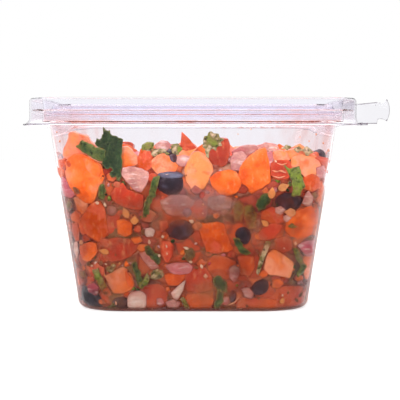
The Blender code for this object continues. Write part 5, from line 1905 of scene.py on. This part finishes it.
def make_floor():
    """A wide pale floor, which lights and mirrors a little less than it shows."""
    mesh = bpy.data.meshes.new("floor")
    corners = [(x * FLOOR_HALF, y * FLOOR_HALF, FLOOR_Z) for x, y in ((-1, -1), (1, -1), (1, 1), (-1, 1))]
    mesh.from_pydata(corners, [], [(0, 1, 2, 3)])
    floor = link_object("floor", mesh)
    material, tree, shader = new_material("pale_floor", 0.9)
    place = object_place(tree)
    tone = remap(tree, cloud_noise(tree, place, 3.0, 2.0), 0.3, 0.7)
    colour = mix_colours(tree, tone, (0.69, 0.69, 0.69, 1.0), (0.71, 0.71, 0.71, 1.0))
    path = add_node(tree, "ShaderNodeLightPath")
    mirrored = larger(tree, path.outputs["Is Reflection Ray"], path.outputs["Is Transmission Ray"])
    behind = multiply(tree, mirrored, remap(tree, along_axis(tree, place, "Y"), -120 * MM, -20 * MM))
    seen = larger(tree, path.outputs["Is Camera Ray"], larger(tree, only_bent(tree, path), behind))
    mirrored = multiply(tree, mirrored, arithmetic(tree, "SUBTRACT", 1.0, seen))
    colour = mix_colours(tree, mirrored, colour, (0.3, 0.29, 0.31, 1.0))
    tree.links.new(colour, shader.inputs["Base Color"])
    shader.inputs["Emission Color"].default_value = WHITE
    tree.links.new(multiply(tree, seen, 0.66), shader.inputs["Emission Strength"])
    mesh.materials.append(material)


def add_lamp(name, place, size, power):
    """A soft square lamp that faces the tub."""
    lamp = bpy.data.lights.new(name, "AREA")
    lamp.energy = power
    lamp.size = size
    item = link_object(name, lamp)
    item.location = place
    item.rotation_euler = (LAMP_AIM - Vector(place)).to_track_quat("-Z", "Y").to_euler()


def make_world():
    """White behind the tub. For its gloss: a bright horizon, a duller band above it, a bright roof, and
    a darker side where the camera stands."""
    world = bpy.data.worlds.new("studio")
    world.use_nodes = True
    tree = world.node_tree
    tree.nodes.clear()
    outward = add_node(tree, "ShaderNodeTexCoord").outputs["Generated"]
    axes = add_node(tree, "ShaderNodeSeparateXYZ", {0: outward})
    x, y, z = (axes.outputs[axis] for axis in "XYZ")
    share = arithmetic(tree, "ADD", multiply(tree, z, 0.5), 0.5)
    around = ramp(tree, share, (
        (0.0, (0.8, 0.8, 0.8, 1.0)), (0.48, (0.98, 0.97, 1.0, 1.0)), (0.55, (0.98, 0.97, 1.0, 1.0)),
        (0.61, (0.52, 0.51, 0.54, 1.0)), (0.72, (0.46, 0.46, 0.48, 1.0)), (0.84, WHITE), (1.0, WHITE)))
    front = remap(tree, y, -0.15, -0.7, 1.0, 0.42)
    front = multiply(tree, front, remap(tree, arithmetic(tree, "ABSOLUTE", x), 0.25, 0.6, 1.0, 0.55))
    lit_colour = dimmed_by(tree, around, front)
    path = add_node(tree, "ShaderNodeLightPath")
    ahead = multiply(tree, only_bent(tree, path), remap(tree, y, 0.3, 0.75, 0.85, 1.0))
    ahead = larger(tree, ahead, remap(tree, y, -0.3, 0.1))
    through = mix_colours(tree, ahead, (0.34, 0.27, 0.27, 1.0), WHITE)
    lit_colour = mix_colours(tree, path.outputs["Is Transmission Ray"], lit_colour, through)
    seen = add_node(tree, "ShaderNodeBackground", {"Color": WHITE, "Strength": 1.0})
    lit = add_node(tree, "ShaderNodeBackground", {"Color": lit_colour, "Strength": 1.0})
    both = add_node(tree, "ShaderNodeMixShader", {
        0: path.outputs["Is Camera Ray"], 1: lit.outputs[0], 2: seen.outputs[0]})
    tree.links.new(both.outputs[0], tree.nodes.new("ShaderNodeOutputWorld").inputs["Surface"])
    bpy.context.scene.world = world


def make_camera():
    """The camera at the photograph's place and angle."""
    camera = bpy.data.cameras.new("camera")
    camera.lens = CAMERA_LENS
    camera.sensor_width = SENSOR
    item = link_object("camera", camera)
    item.location = CAMERA_PLACE
    item.rotation_euler = (math.radians(90) - CAMERA_PITCH, 0.0, 0.0)
    bpy.context.scene.camera = item


def make_studio():
    """Floor, lamps, world and camera."""
    make_floor()
    for lamp in LAMPS:
        add_lamp(*lamp)
    make_world()
    make_camera()
    scene = bpy.context.scene
    scene.view_settings.view_transform = "Standard"
    scene.view_settings.look = "None"
    scene.cycles.transparent_max_bounces = 24
    scene.cycles.glossy_bounces = MIRRORINGS
    scene.cycles.transmission_bounces = MIRRORINGS
    scene.cycles.max_bounces = MIRRORINGS * 3 // 2


def main():
    """Build the whole scene."""
    noise.seed_set(SEED)
    materials = make_materials()
    make_tub(materials["tub"])
    make_lid(materials["lid"])
    make_core(materials["core"])
    make_juice(materials["juice"])
    draw = random.Random(SEED)
    piles = {kind: Pile(name) for kind, name in KIND_PILE.items()}
    piles["seed"] = Pile("tomato_seeds")
    piles["speck"] = Pile("dark_flecks")
    add_front_pieces(piles)
    add_wall_pieces(piles, draw)
    add_top_pieces(piles, draw)
    for kind, pile in piles.items():
        pile.make(materials[kind])
    add_small_things(materials)
    make_studio()


main()
